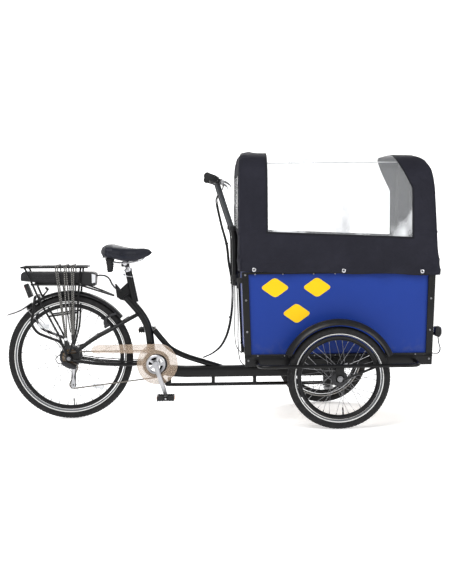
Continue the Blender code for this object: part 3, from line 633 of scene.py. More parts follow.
def toothed(centre, root_r, tip_r, teeth, y_low, y_high, hole_r):
    """Toothed plate with a round hole: the rim radius swings between root and tip."""
    per = 6
    count = teeth * per
    turn = np.arange(count) * TAU / count
    phase = np.cos(turn * teeth)
    radius = root_r + (tip_r - root_r) * np.clip(0.5 + 0.75 * phase, 0, 1)
    outer = np.column_stack([centre[0] + radius * np.cos(turn), centre[-1] + radius * np.sin(turn)])
    inner = np.column_stack([centre[0] + hole_r * np.cos(turn), centre[-1] + hole_r * np.sin(turn)])
    rings = [(inner, y_low), (outer, y_low), (outer, y_high), (inner, y_high)]
    points = np.vstack([np.column_stack([ring[:, 0], np.full(count, y), ring[:, 1]]) for ring, y in rings])
    return Shape(points, quads(4, count, True))


def valve(hub, rim_r, turn):
    """Valve stem and cap pointing from the rim towards the hub."""
    inward = -np.array((math.cos(turn), 0.0, math.sin(turn)))
    root = hub - inward * rim_r
    return tube([root, root + inward * 0.026], 0.0028,
                10) + tube([root + inward * 0.022, root + inward * 0.036], 0.0036, 10)


def make_rear_wheel():
    """Tyre, rim, crossed spokes, hub motor, cogs and the two spoke reflectors."""
    hub = REAR_HUB
    rubber = tyre_finish("rear_tyre_rubber", at([hub])[0], 0.2885)
    piece("rear_tyre_tread", tyre_shape(hub, REAR_R, 0.024, 110), rubber, "rear_wheel", ["rear_tyre"])
    piece("rear_rim_section", rim_shape(hub, 0.2765), RIM, "rear_wheel", ["rear_rim"])
    piece("rear_spoke_set", spoke_set(hub, 0.0530, 0.0205, 0.2575, 36), STEEL, "rear_wheel")
    piece("rear_valve", valve(hub, 0.258, -1.52), DARK, "rear_wheel")
    shell = [(0.0064, -0.0335), (0.026, -0.0335), (0.030, -0.0325), (0.044, -0.0275), (0.0495, -0.0245),
             (0.0560, -0.0230), (0.0568, -0.0215), (0.0568, -0.0190), (0.0560, -0.0180), (0.0515, -0.0165),
             (0.0510, -0.010), (0.0502, 0.0), (0.0510, 0.010), (0.0515, 0.0165), (0.0560, 0.0180),
             (0.0568, 0.0190), (0.0568, 0.0215), (0.0560, 0.0230), (0.0495, 0.0245), (0.044, 0.0275),
             (0.030, 0.0325), (0.026, 0.0335), (0.0064, 0.0335)]
    piece("hub_motor_shell", turned(shell, hub, 96), DARK, "rear_wheel", ["rear_hub_motor"])
    covers = total(bolt(hub + (0.036 * math.cos(t), s * 0.0305, 0.036 * math.sin(t)), (0, s, 0), 0.0022)
                   for s in (-1, 1) for t in np.arange(8) * TAU / 8)
    piece("hub_cover_screws", covers, DARK, "rear_wheel")
    reflectors = []
    for turn in (2.28, 5.42):
        body = swept(smooth([(0.192, 0, -0.018), (0.205, 0, -0.004), (0.223, 0, 0.010), (0.240, 0, 0.012)],
                            9),
                     rounded(0.012, 0.024, 0.004))
        reflectors.append(body.copies([(about_y(turn), hub)]))
    piece("spoke_reflectors", total(reflectors), REFLECTOR, "rear_wheel")
    cogs = []
    for number, (y, radius) in enumerate(((-0.0572, 0.0215), (-0.0542, 0.0245), (-0.0507, 0.0275),
                                          (-0.0455, 0.0315), (-0.0425, 0.0355), (-0.0395, 0.0390),
                                          (-0.0368, 0.0430))):
        cogs.append(toothed(hub, radius - 0.0030, radius, 14 + 2 * number, y, y + 0.0014, 0.0150))
    cogs.append(turned([(0.0066, -0.0580), (0.0155, -0.0580), (0.0155, -0.0350), (0.0066, -0.0350)], hub, 40))
    piece("cog_stack", total(cogs), COG_STEEL, "freewheel", ["rear_cogs"])
    nuts = total(swept([hub + (0, s * a, 0), hub + (0, s * b, 0)], circle(0.0105, 6))
                 for s in (-1, 1) for a, b in ((0.0672, 0.0740), (0.1000, 0.1085)))
    piece("rear_axle_nuts", nuts, STEEL, "frame")
    repaint(STEEL, "rear_axle")


def make_front_wheel(side, sign):
    """One 20-inch front wheel with its drum-brake hub."""
    hub = np.array((FRONT_X, sign * HALF_TRACK, FRONT_R))
    body = f"{side}_front_wheel"
    rubber = tyre_finish(f"front_tyre_rubber_{side}", at([hub])[0], 0.2160)
    piece(f"front_tyre_tread_{side}", tyre_shape(hub, FRONT_R, 0.024, 86), rubber, body,
          [f"front_tyre_{side}"])
    piece(f"front_rim_section_{side}", rim_shape(hub, 0.2045), RIM, body, [f"front_wheel_{side}"])
    piece(f"front_spoke_set_{side}", spoke_set(hub, 0.0360, 0.0235, 0.1855, 36), STEEL, body)
    piece(f"front_valve_{side}", valve(hub, 0.186, -1.45), DARK, body)
    shell = [(0.0064, -0.033), (0.014, -0.033), (0.017, -0.030), (0.036, -0.0265), (0.0395, -0.0255),
             (0.0395, -0.0215), (0.036, -0.0205), (0.022, -0.017), (0.0185, -0.010), (0.0185, 0.010),
             (0.022, 0.017), (0.036, 0.0205), (0.0395, 0.0215), (0.0395, 0.0255), (0.036, 0.0265),
             (0.017, 0.030), (0.014, 0.033), (0.0064, 0.033)]
    piece(f"front_hub_shell_{side}", turned(shell, hub, 72), DARK, body)
    outer = sign * (HALF_TRACK + 0.0557)
    nut = swept([(hub[0], outer, hub[2]), (hub[0], outer + sign * 0.007, hub[2])], circle(0.0120, 6))
    washer = turned([(0.0066, 0.0), (0.0150, 0.0), (0.0150, 0.0016), (0.0066, 0.0016)],
                    (hub[0], outer - 0.0008, hub[2]), 32)
    piece(f"front_axle_nut_{side}", nut + washer, STEEL, "front")


# ---- chain, cranks, pedals, derailleur -----------------------------------------------------------
def chain_path():
    """Pitch line of the chain round cog, ring, tension and guide pulleys, as a closed loop."""
    ring = arc((BRACKET[0], BRACKET[2]), 0.070, 90, -86, 60)
    low = arc((0.016, 0.183), 0.020, -86, -209, 24)
    guide = arc((0.020, 0.273), 0.020, -29, 85, 24)
    cog = arc((0.0, REAR_R), 0.030, -95, -270, 30)
    loop = np.vstack([ring, low, guide, cog, ring[:1]])
    steps = np.linalg.norm(np.diff(loop, axis=0), axis=1)
    travelled = np.concatenate([[0], np.cumsum(steps)])
    count = 2 * int(travelled[-1] / 0.0127 / 2)
    even = np.linspace(0, travelled[-1], count, endpoint=False)
    return np.column_stack([np.interp(even, travelled, loop[:, 0]), np.interp(even, travelled, loop[:, 1])])


def make_chain():
    """Roller chain: waisted link plates, inner and outer in turn, over pins and rollers."""
    path = chain_path()
    ahead = np.roll(path, -1, axis=0) - path
    turns = np.arctan2(ahead[:, 1], ahead[:, 0])
    pitch = float(np.linalg.norm(ahead, axis=1).mean())
    turn = np.linspace(0, TAU, 20, endpoint=False)
    waist = 0.0039 - 0.0009 * np.cos(turn * 2 + math.pi)
    outline = np.column_stack([pitch / 2 + np.cos(turn) * (pitch / 2 + 0.0038), np.sin(turn) * waist])
    shapes = []
    for parity, offset in ((0, 0.0023), (1, 0.0034)):
        link = slab(outline, offset - 0.0004, offset + 0.0004) + slab(outline, -offset - 0.0004,
                                                                      -offset + 0.0004)
        poses = [(about_y(turns[k]), (path[k, 0], -0.050, path[k, 1])) for k in range(parity, len(path), 2)]
        shapes.append(link.copies(poses))
    roller = disc((0, 0), 0.0037, -0.0018, 0.0018, 10) + disc((0, 0), 0.0018, -0.0042, 0.0042, 8)
    shapes.append(roller.copies([(np.eye(3), (x, -0.050, z)) for x, z in path]))
    piece("roller_chain", total(shapes), CHAIN_STEEL, "frame", ["chain"])


def crank_tip(sign):
    """Centre of one pedal spindle in the XZ plane."""
    turn = CRANK_TILT if sign < 0 else CRANK_TILT + math.pi
    return BRACKET + CRANK_LENGTH * np.array((math.cos(turn), 0.0, math.sin(turn)))


def make_cranks():
    """Forged crank arms, five-armed spider, toothed ring, pedals and the bottom-bracket axle."""
    ring = toothed(BRACKET, 0.0665, 0.0722, 44, -0.0513, -0.0489, 0.0560)
    arms = total(swept([BRACKET + (0.012 * math.cos(t), -0.0545, 0.012 * math.sin(t)),
                        BRACKET + (0.0600 * math.cos(t), -0.0515, 0.0600 * math.sin(t))],
                       rounded(0.004, 0.011, 0.0015))
                 for t in CRANK_TILT + np.arange(5) * TAU / 5)
    shroud = turned([(0.0465, -0.0520), (0.0465, -0.0550), (0.0480, -0.0560), (0.0670, -0.0560),
                     (0.0690, -0.0545),
                     (0.0690, -0.0520)], BRACKET, 96)
    piece("ring_shroud", shroud, PLASTIC, "crank")
    piece("ring_and_spider", ring + arms, SILVER, "crank", ["chainring"], 0.0002)
    guard = turned([(0.037, -0.0690), (0.047, -0.0715), (0.0495, -0.0700), (0.0495, -0.0655),
                    (0.047, -0.0645),
                    (0.037, -0.0660)], BRACKET, 96)
    for side, sign in SIDES.items():
        tip = crank_tip(sign)
        down = (tip - BRACKET) / CRANK_LENGTH
        lift = np.array((0.0, sign, 0.0))
        line = [BRACKET + lift * 0.091 - down * 0.012, BRACKET + lift * 0.092,
                BRACKET + lift * 0.093 + down * 0.02,
                BRACKET + lift * 0.095 + down * 0.09, BRACKET + lift * 0.0975 + down * 0.150,
                tip + lift * 0.098, tip + lift * 0.098 + down * 0.009]
        arm = swept(smooth(line, 32), rounded(0.0125, 0.025, 0.0045),
                    np.interp(np.linspace(0, 1, 32), [0, 0.1, 0.3, 0.8, 0.9, 1],
                              [0.85, 1.2, 1.0, 0.82, 0.98, 0.6]))
        boss = disc(BRACKET, 0.0185, sign * 0.0640, sign * 0.0995, 48, 0.002)
        cap = disc(BRACKET, 0.0110, sign * 0.0990, sign * 0.1020, 32, 0.001)
        eye = disc(tip, 0.0125, sign * 0.0915, sign * 0.1040, 32, 0.0015)
        spindle = turned([(0.00002, 0.100), (0.0070, 0.100), (0.0070, 0.108), (0.0050, 0.112),
                          (0.0045, 0.196),
                          (0.00002, 0.196)], tip * (1, 0, 1), 24) if sign > 0 else turned(
                         [(0.00002, -0.196), (0.0045, -0.196), (0.0050, -0.112), (0.0070, -0.108),
                          (0.0070, -0.100), (0.00002, -0.100)], tip * (1, 0, 1), 24)
        shape = arm + boss + cap + eye + spindle
        if sign < 0:
            shape = shape + guard + total(
                swept([BRACKET + (0.010 * math.cos(t), -0.0700, 0.010 * math.sin(t)),
                       BRACKET + (0.042 * math.cos(t), -0.0680, 0.042 * math.sin(t))],
                      rounded(0.005, 0.013, 0.002))
                for t in CRANK_TILT + np.arange(5) * TAU / 5)
            shape = shape + disc(BRACKET, 0.0084, -0.080, 0.086, 32)
        piece(f"crank_arm_{side}", shape, SILVER, "crank", [f"crank_{side}"])
        make_pedal(side, sign, tip)


def make_pedal(side, sign, tip):
    """Cage pedal: two toothed side plates on a barrel, with cross bars and end reflectors."""
    near, far = sign * 0.1085, sign * 0.1935
    shapes = [turned([(0.0056, near), (0.0115, near), (0.0100, (near + far) / 2), (0.0115, far),
                      (0.0056, far)],
                     tip * (1, 0, 1), 32)]
    for y0, y1 in ((near, near + sign * 0.006), (far - sign * 0.006, far)):
        x = np.linspace(-0.044, 0.044, 45)
        teeth = 0.0105 + 0.0025 * (np.sin(x * 520) > 0) * (np.abs(x) > 0.012)
        outline = np.vstack([np.column_stack([x, teeth]),
                             np.column_stack([x[::-1], -teeth])]) + (tip[0], tip[2])
        hole = slab(outline, min(y0, y1), max(y0, y1))
        shapes.append(hole)
    for x in (-0.040, 0.040):
        shapes.append(block((tip[0] + x - 0.004, min(near, far) + 0.004, tip[2] - 0.009),
                            (tip[0] + x + 0.004, max(near, far) - 0.004, tip[2] + 0.009)))
    for y in (0.130, 0.151, 0.172):
        shapes.append(block((tip[0] - 0.040, sign * y - 0.0025, tip[2] - 0.007),
                            (tip[0] + 0.040, sign * y + 0.0025, tip[2] + 0.007)))
    piece(f"pedal_cage_{side}", total(shapes), PLASTIC, f"{side}_pedal", [f"pedal_{side}"],
          0.0006)
    lenses = [block((tip[0] + x - 0.001, sign * 0.151 - 0.022, tip[2] - 0.0065),
                    (tip[0] + x + 0.001, sign * 0.151 + 0.022, tip[2] + 0.0065)) for x in (-0.0450, 0.0450)]
    piece(f"pedal_lens_{side}", total(lenses), AMBER, f"{side}_pedal", (), 0.0004)


def make_drivetrain():
    """Smoked chain guard with a turned-in lip, derailleur dress and toothed pulleys."""
    centre = (0.4515, 0.0, 0.286)
    lip = [(0.0520, -0.0600), (0.0520, -0.0615), (0.1000, -0.0622), (0.1045, -0.0610), (0.1060, -0.0570),
           (0.1060, -0.0480), (0.1048, -0.0480), (0.1046, -0.0565), (0.1036, -0.0595), (0.1000, -0.0604)]
    band = slab(np.vstack([[(0.420, 0.3895), (0.150, 0.3880), (0.128, 0.3840), (0.114, 0.3700),
                            (0.112, 0.3600),
                            (0.120, 0.3460), (0.420, 0.3420)]]), -0.0618, -0.0602)
    rim = swept(smooth([(0.420, -0.0570, 0.3893), (0.150, -0.0570, 0.3877), (0.128, -0.0570, 0.3837),
                        (0.113, -0.0570, 0.3690)], 24), rounded(0.0075, 0.0012, 0.0005, 3))
    piece("chain_guard_shell", turned(lip, centre, 128) + band + rim, TAN, "frame", ["chain_guard"])
    repaint(DARK, "derailleur")
    links = []
    for y in (-0.0800, -0.0620):
        links.append(swept(smooth([(-0.034, y, 0.300), (-0.008, y, 0.286), (0.022, y, 0.275)], 8),
                           rounded(0.003, 0.011, 0.001)))
    links.append(disc((-0.034, 0.300), 0.0075, -0.0830, -0.0590, 24))
    links.append(disc((0.022, 0.275), 0.0080, -0.0830, -0.0590, 24))
    cage = [(0.004, 0.172), (0.014, 0.163), (0.024, 0.170), (0.026, 0.190), (0.020, 0.225), (0.028, 0.262),
            (0.026, 0.280), (0.014, 0.282), (0.010, 0.262), (0.014, 0.225), (0.006, 0.195)]
    piece("derailleur_cage_plate", slab(cage, -0.0600, -0.0588), SILVER, "frame", (), 0.0003)
    for x, z in ((0.016, 0.183), (0.020, 0.273)):
        links.append(bolt((x, -0.0600, z), (0, -1, 0), 0.0035))
    piece("derailleur_links", total(links), DARK, "frame", (), 0.0004)
    for name, body, x, z in (("tension_wheel", "tension_jockey", 0.016, 0.183),
                             ("guide_wheel", "guide_jockey", 0.020, 0.273)):
        node = "tension_pulley" if x < 0.018 else "guide_pulley"
        piece(name, toothed((x, 0, z), 0.0135, 0.0163, 11, -0.0518, -0.0482, 0.0036), PLASTIC, body, [node])
    cable = smooth([(0.060, -0.078, 0.300), (0.010, -0.080, 0.316), (-0.040, -0.082, 0.342),
                    (-0.068, -0.082, 0.325),
                    (-0.060, -0.081, 0.300), (-0.036, -0.080, 0.296)], 40)
    lead("shift_cable_loop", cable, 0.0022, "frame")
    motor = smooth([(0.002, 0.116, 0.325), (-0.006, 0.121, 0.330), (-0.030, 0.113, 0.350),
                    (0.010, 0.0840, 0.364),
                    (0.080, 0.078, 0.3900), (0.200, 0.064, 0.4600), (0.300, 0.046, 0.5250)], 44)
    lead("motor_cable", motor, 0.0028, "frame")


# ---- the black frame --------------------------------------------------------------------------
def weld(place, radius, along):
    """Small bead of weld round a tube's end."""
    along = np.asarray(along, float)
    along /= np.linalg.norm(along)
    line = [np.asarray(place) + along * k for k in (-0.003, -0.001, 0.001, 0.003)]
    return swept(line, circle(radius, 24), [1.0, 1.10, 1.10, 1.0])


def make_frame():
    """Seat mast, gusset, load beam, down tube, lower rail with struts, stays and steering head."""
    mast = smooth([(0.292, 0, 0.634), (0.366, 0, 0.546), (0.402, 0, 0.476), (0.4155, 0, 0.392),
                   (0.418, 0, 0.340), (0.440, 0, 0.290)], 48)
    top = np.array((0.3075, 0.0, 0.7600))
    foot = np.array((0.3380, 0.0, 0.6050))
    down = (foot - top) / np.linalg.norm(foot - top)
    seat_tube = turned([(0.0138, -0.018), (0.0180, -0.018), (0.0188, 0.158), (0.0138, 0.158)], (0, 0, 0), 40,
                       "Z")
    tilt = np.column_stack([np.cross((0.0, 1.0, 0.0), down), (0.0, 1.0, 0.0), down])
    seat_tube = seat_tube.copies([(tilt, top)])
    gusset = slab([(0.235, 0.702), (0.243, 0.700), (0.263, 0.674), (0.299, 0.706), (0.320, 0.694),
                   (0.336, 0.600), (0.262, 0.618), (0.244, 0.632)], -0.0045, 0.0045)
    shell = turned([(0.0160, -0.036), (0.0220, -0.036), (0.0220, 0.036), (0.0160, 0.036)], BRACKET, 48)
    cups = total(turned([(0.0092, s * 0.0355), (0.0205, s * 0.0365), (0.0205, s * 0.0400),
                         (0.0092, s * 0.0410)][::s],
                        BRACKET, 48) for s in (-1, 1))
    piece("seat_mast_tubes",
          tube(mast, 0.0210, 32) + seat_tube + shell + weld(mast[0], 0.0205, mast[1] - mast[0]),
          BLACK, "frame", ["seat_mast"])
    piece("mast_gusset", gusset, BLACK, "frame", (), 0.0012)
    piece("bracket_cups", cups, SILVER, "frame")
    collar = turned([(0.0135, -0.020), (0.0210, -0.020), (0.0216, -0.017), (0.0216, -0.008), (0.0210, -0.005),
                     (0.0135, -0.005)], (0, 0, 0), 40, "Z").copies([(tilt, top)])
    lever = swept(smooth([(0.288, -0.022, 0.752), (0.284, -0.030, 0.748), (0.300, -0.034, 0.742),
                          (0.330, -0.030, 0.738)], 12),
                  rounded(0.005, 0.009, 0.002), np.linspace(1, 0.8, 12))
    piece("seat_clamp_ring", collar + lever, SILVER, "frame")

    beam = swept([(0.4620, 0, 0.2588), (0.520, 0, 0.2425), (0.600, 0, 0.238), (1.3165, 0, 0.238)],
                 rounded(0.044, 0.060, 0.011))
    down_tube = tube(smooth([(0.4365, 0, 0.4565), (0.478, 0, 0.405), (0.523, 0, 0.357), (0.600, 0, 0.318),
                             (0.700, 0, 0.285), (0.800, 0, 0.252)], 40), 0.0150, 28)
    piece("load_beam_tubes", beam + down_tube, BLACK, "frame", ["load_beam"])
    lower = smooth([(0.470, 0, 0.206), (0.486, 0, 0.186), (0.505, 0, 0.174), (0.530, 0, 0.169),
                    (0.900, 0, 0.169),
                    (1.316, 0, 0.169)], 40)
    struts = total(block((x - 0.009, -0.0105, 0.166), (x + 0.009, 0.0105, 0.2078)) for x in (0.512, 0.741,
                                                                                             0.958))
    piece("lower_rail_tube", tube(lower, 0.0092, 24), BLACK, "frame", ["lower_rail"])
    piece("rail_struts", struts, BLACK, "frame", (), 0.0015)
    repaint(BLACK, "steering_head")
    rings = turned([(0.0282, 0.157), (0.0305, 0.157), (0.0305, 0.166), (0.0282, 0.166)], (1.345, 0, 0), 48,
                   "Z")
    rings = rings + turned([(0.0282, 0.274), (0.0305, 0.274), (0.0305, 0.283), (0.0282, 0.283)],
                           (1.345, 0, 0), 48, "Z")
    piece("head_collars", rings, BLACK, "frame")

    for side, s in SIDES.items():
        stay = smooth([(0.018, s * 0.0695, 0.311), (0.060, s * 0.0685, 0.305), (0.150, s * 0.063, 0.292),
                       (0.290, s * 0.049, 0.284), (0.345, s * 0.036, 0.285), (0.428, s * 0.027, 0.286)], 36)
        plate = slab(np.vstack([arc((0, REAR_R), 0.0225, 60, 300, 16),
                                [(0.030, 0.300), (0.055, 0.309), (0.050, 0.350)]]),
                     *sorted((s * 0.0600, s * 0.0660)))
        piece(f"chain_stay_tube_{side}", tube(stay, 0.0092, 24, False), BLACK, "frame",
              [f"chain_stay_{side}"])
        piece(f"dropout_{side}", plate, BLACK, "frame", (), 0.0008)
        upper = smooth([(0.352, s * 0.016, 0.541), (0.300, s * 0.034, 0.514), (0.220, s * 0.052, 0.470),
                        (0.126, s * 0.062, 0.419), (0.036, s * 0.0755, 0.357)], 36)
        piece(f"seat_stay_tube_{side}", tube(upper, 0.0092, 24), BLACK, "frame", [f"seat_stay_{side}"])
        lead = smooth([(0.420, s * 0.024, 0.300), (0.300, s * 0.045, 0.2995), (0.150, s * 0.0610, 0.3075),
                       (0.060, s * 0.070, 0.319)], 20)
        piece(f"stay_cable_{side}", tube(lead, 0.0024, 10), CORD, "frame")
    bridge = tube([(0.300, -0.034, 0.514), (0.300, 0.034, 0.514)], 0.007, 20)
    piece("stay_bridge", bridge, BLACK, "frame")


def make_brake():
    """Cast brake arms on their pivots, and the pads on their stems, over the rear tyre."""
    for side, s in SIDES.items():
        arm = swept(smooth([(0.188, s * 0.0385, 0.482), (0.182, s * 0.0392, 0.505),
                            (0.190, s * 0.0385, 0.524),
                            (0.212, s * 0.0370, 0.540), (0.240, s * 0.0360, 0.549)], 20),
                    rounded(0.008, 0.014, 0.003), np.linspace(1.1, 0.75, 20))
        pivot = swept([(0.205, s * 0.0385, 0.4915), (0.180, s * 0.0385, 0.4770)], circle(0.0065, 20))
        stem = tube([(0.1880, s * 0.0215, 0.5085), (0.1880, s * 0.0420, 0.5085)], 0.0038, 16)
        piece(f"brake_arm_{side}", arm + pivot + stem, DARK, f"{side}_brake_arm", [f"rear_brake_arm_{side}"])
        pad = swept(smooth([(0.163, s * 0.0210, 0.5275), (0.192, s * 0.0210, 0.5080),
                            (0.216, s * 0.0210, 0.4860)], 10),
                    rounded(0.010, 0.011, 0.002))
        piece(f"brake_pad_{side}", pad, RUBBER, f"{side}_brake_arm")


def make_saddle():
    """Wide-backed saddle: a padded, crowned top over a shell, with piping, rails and bumpers."""
    rows, cols = 60, 48
    along = np.linspace(0, 1, rows)[:, None]
    around = (np.arange(cols) * TAU / cols)[None, :]
    x = 0.165 + 0.263 * (0.5 - 0.5 * np.cos(along * math.pi))
    place = (x - 0.165) / 0.263
    stops = [0, 0.04, 0.12, 0.25, 0.38, 0.52, 0.68, 0.85, 0.95, 1.0]
    half = np.interp(place, stops, [0.012, 0.062, 0.098, 0.107, 0.088, 0.058, 0.036, 0.026, 0.020, 0.006])
    high = np.interp(place, stops, [0.874, 0.894, 0.9060, 0.9080, 0.900, 0.891, 0.886, 0.886, 0.880, 0.866])
    low = np.interp(place, stops, [0.862, 0.846, 0.838, 0.832, 0.822, 0.816, 0.818, 0.834, 0.846, 0.858])
    swing = np.cos(around)
    lift = np.sin(around)
    y = half * np.sign(swing) * np.abs(swing) ** 0.75
    crown = np.where(lift > 0, np.abs(lift) ** 0.62, -np.abs(lift) ** 0.5)
    groove = 0.0045 * np.exp(-(y / 0.011) ** 2) * (lift > 0) * np.clip(1.3 - np.abs(place - 0.5) * 2.4, 0, 1)
    z = (high + low) / 2 + crown * (high - low) / 2 - groove - 0.10 * np.maximum(np.abs(y) - 0.05,
                                                                                 0) * (lift > 0)
    points = np.stack([x + 0 * around, y, z], -1).reshape(-1, 3)
    faces = list(quads(rows, cols)) + [list(range(cols)), [(rows - 1) * cols + k for k in range(cols)]]
    cover = piece("saddle_cover", Shape(points, faces), SADDLE, "seat", ["saddle"],
                  subdivide=1)
    edge = np.stack([x[:, 0], half[:, 0] * 1.002 + 0.0006, ((high + low) / 2)[:, 0] - 0.001], -1)
    loop = np.vstack([edge, (edge * (1, -1, 1))[::-1][1:]])
    piece("saddle_piping", tube(loop[3:-3], 0.0016, 8), SADDLE, "seat")
    up = np.array((-0.1931, 0.0, 0.9812))
    top = np.array((0.3075, 0.0, 0.7600))
    post = tube([top - up * 0.139, top + up * 0.036], 0.0127, 32)
    head = tube([(0.290, -0.026, 0.8090), (0.290, 0.026, 0.8090)], 0.0125, 24)
    yoke = block((0.270, -0.019, 0.7900), (0.312, 0.019, 0.8060))
    piece("seat_post_tube", post + head, SILVER, "seat", ["seat_post"])
    piece("seat_post_yoke", yoke + block((0.274, -0.027, 0.8130), (0.306, 0.027, 0.8175)), DARK, "seat", (),
          0.002)
    rails = total(tube(smooth([(0.192, s * 0.040, 0.8360), (0.200, s * 0.036, 0.822),
                               (0.250, s * 0.024, 0.8110),
                               (0.315, s * 0.021, 0.8110), (0.372, s * 0.014, 0.822),
                               (0.398, s * 0.008, 0.8440)], 30),
                       0.0037, 16) for s in (-1, 1))
    piece("saddle_rail_pair", rails, SILVER, "seat")
    lines = []
    for s in (-1, 1):
        z = np.linspace(0.764, 0.836, 36)
        radius = (0.0110 + (z - 0.764) * 0.130) * (1 + 0.07 * np.sin((z - 0.764) * 560))
        profile = np.vstack([[(0.00002, z[0])], np.column_stack([radius, z]), [(0.00002, z[-1])]])
        lines.append(turned(profile, (0.212, s * 0.042, 0), 28, "Z"))
    piece("saddle_bumpers", total(lines), RUBBER, "seat")
    piece("saddle_under_shell",
          swept([(0.176, 0, 0.842), (0.300, 0, 0.8400), (0.395, 0, 0.850)], rounded(0.10, 0.006, 0.002),
                                      [1.0, 0.75, 0.30]), PLASTIC, "seat")


def make_rack():
    """Tubular rack, sliding battery with its dock and lead, tail lamp and two stretch straps."""
    shapes = []
    for s in (-1, 1):
        y = s * 0.070
        shapes.append(tube([(-0.240, y, 0.7935), (0.100, y, 0.7925)], 0.0052, 16))
        shapes.append(tube(smooth([(-0.222, y, 0.793), (-0.186, y, 0.715), (-0.144, y, 0.617),
                                   (-0.056, s * 0.074, 0.451),
                                   (-0.030, s * 0.0755, 0.385), (-0.014, s * 0.0755, 0.349)], 30), 0.0052,
                           16))
        shapes.append(tube(smooth([(0.066, y, 0.793), (0.053, y, 0.665), (0.040, y, 0.487),
                                   (0.016, s * 0.0755, 0.400),
                                   (0.002, s * 0.0755, 0.352)], 30), 0.0052, 16))
        shapes.append(tube([(-0.190, y, 0.706), (0.056, y, 0.703)], 0.0052, 16))
        shapes.append(tube(smooth([(0.056, y, 0.703), (0.150, s * 0.050, 0.670), (0.228, s * 0.0105, 0.641)],
                                  12), 0.0045, 16))
        shapes.append(tube([(-0.105, y, 0.541), (0.046, y, 0.560)], 0.0045, 16))
    for x in (-0.240, -0.150, -0.060, 0.030, 0.100):
        shapes.append(tube([(x, -0.070, 0.7932), (x, 0.070, 0.7932)], 0.0046, 16))
    for y in (-0.024, 0.024):
        shapes.append(tube([(-0.236, y, 0.7936), (0.098, y, 0.7930)], 0.0036, 14))
    piece("rack_tubes", total(shapes), BLACK, "frame", ["rear_rack"])
    case = slab([(-0.246, 0.724), (-0.244, 0.758), (-0.234, 0.770), (0.062, 0.766), (0.062, 0.712),
                 (-0.120, 0.712)], -0.056, 0.056)
    piece("battery_case", case, BATTERY, "frame", ["battery"], 0.007)
    ribs = total(block((-0.225, s * 0.0562 - 0.0010, z - 0.0012), (0.050, s * 0.0562 + 0.0010, z + 0.0012))
                 for s in (-1, 1) for z in (0.730, 0.742, 0.754))
    piece("battery_ribs", ribs, BATTERY, "frame", (), 0.0004)
    dock = slab([(0.0624, 0.767), (0.128, 0.765), (0.143, 0.756), (0.138, 0.694), (0.0624, 0.696)], -0.054,
                0.054)
    piece("battery_dock_case", dock, PLASTIC, "frame", ["battery_dock"], 0.006)
    face = slab([(0.120, 0.758), (0.1405, 0.752), (0.1385, 0.712), (0.120, 0.708)], -0.0556, 0.0556)
    piece("dock_end_cap", face, CLEAR_END, "frame", (), 0.002)
    cable = smooth([(0.134, -0.020, 0.744), (0.160, -0.022, 0.748), (0.188, -0.022, 0.744),
                    (0.208, -0.018, 0.728),
                    (0.222, -0.014, 0.700), (0.240, -0.012, 0.678), (0.268, -0.012, 0.664)], 40)
    lead("battery_cable", cable, 0.0042, "frame")
    lamp = slab([(-0.236, 0.702), (-0.216, 0.708), (-0.190, 0.642), (-0.212, 0.632)], -0.024, 0.024)
    piece("tail_lamp_body", lamp, PLASTIC, "frame", ["tail_light"], 0.004)
    lens = slab([(-0.2365, 0.698), (-0.2310, 0.702), (-0.2075, 0.640), (-0.2130, 0.636)], -0.020, 0.020)
    piece("tail_lamp_lens", lens, RED, "frame", (), 0.002)
    strands = []
    for top_x, foot_x, foot_z, s in ((-0.060, -0.018, 0.432, -1), (-0.050, -0.014, 0.432, -1),
                                     (-0.017, -0.010, 0.432, -1),
                                     (-0.007, 0.018, 0.441, -1), (0.020, 0.022, 0.441, -1),
                                     (0.030, 0.026, 0.441, -1),
                                     (-0.055, -0.010, 0.441, 1), (-0.012, 0.000, 0.441, 1),
                                     (0.025, 0.010, 0.441, 1)):
        route = [(top_x, -s * 0.004, 0.8015), (top_x, s * 0.058, 0.8015), (top_x, s * 0.0772, 0.798),
                 (top_x, s * 0.0800, 0.775), ((top_x + foot_x) / 2, s * 0.0830, 0.600),
                 (foot_x, s * 0.0840, foot_z)]
        strands.append(tube(smooth(route, 34), 0.0036, 10))
    piece("luggage_straps", total(strands), STRAP, "frame")
    tabs = slab([(-0.026, 0.436), (-0.006, 0.436), (-0.009, 0.384), (-0.023, 0.384)], -0.0890, -0.0830)
    tabs = tabs + slab([(0.012, 0.446), (0.032, 0.446), (0.028, 0.398), (0.016, 0.398)], -0.0890, -0.0830)
    piece("strap_ends", tabs, PLASTIC, "frame", (), 0.0015)
    hooks = disc((-0.016, 0.424), 0.0080, -0.0905, -0.0885, 32, 0.0006)
    piece("strap_hooks", hooks, REFLECTOR, "frame")


def domed_arc(centre, radius, half_width, rise, start, end, steps=72, across=14, y_mid=0.0, thick=0.0011):
    """Mudguard: an arc whose cross-section is a shallow dome with rolled edges, as a closed skin."""
    turn = np.radians(np.linspace(start, end, steps))[:, None]
    u = np.linspace(-1, 1, across)[None, :]
    drop = rise * u ** 2 + 0.003 * (np.abs(u) > 0.97)
    outer = radius - drop
    y = y_mid + half_width * u + 0 * turn
    layers = []
    for reach in (outer, outer - thick):
        layers.append(np.stack([centre[0] + reach * np.cos(turn), y, centre[1] + reach * np.sin(turn)], -1))
    ring = np.concatenate([layers[0], layers[1][:, ::-1]], axis=1)
    count = ring.shape[1]
    faces = list(quads(steps, count)) + [list(range(count)), [(steps - 1) * count + k for k in range(count)]]
    return Shape(ring.reshape(-1, 3), faces)


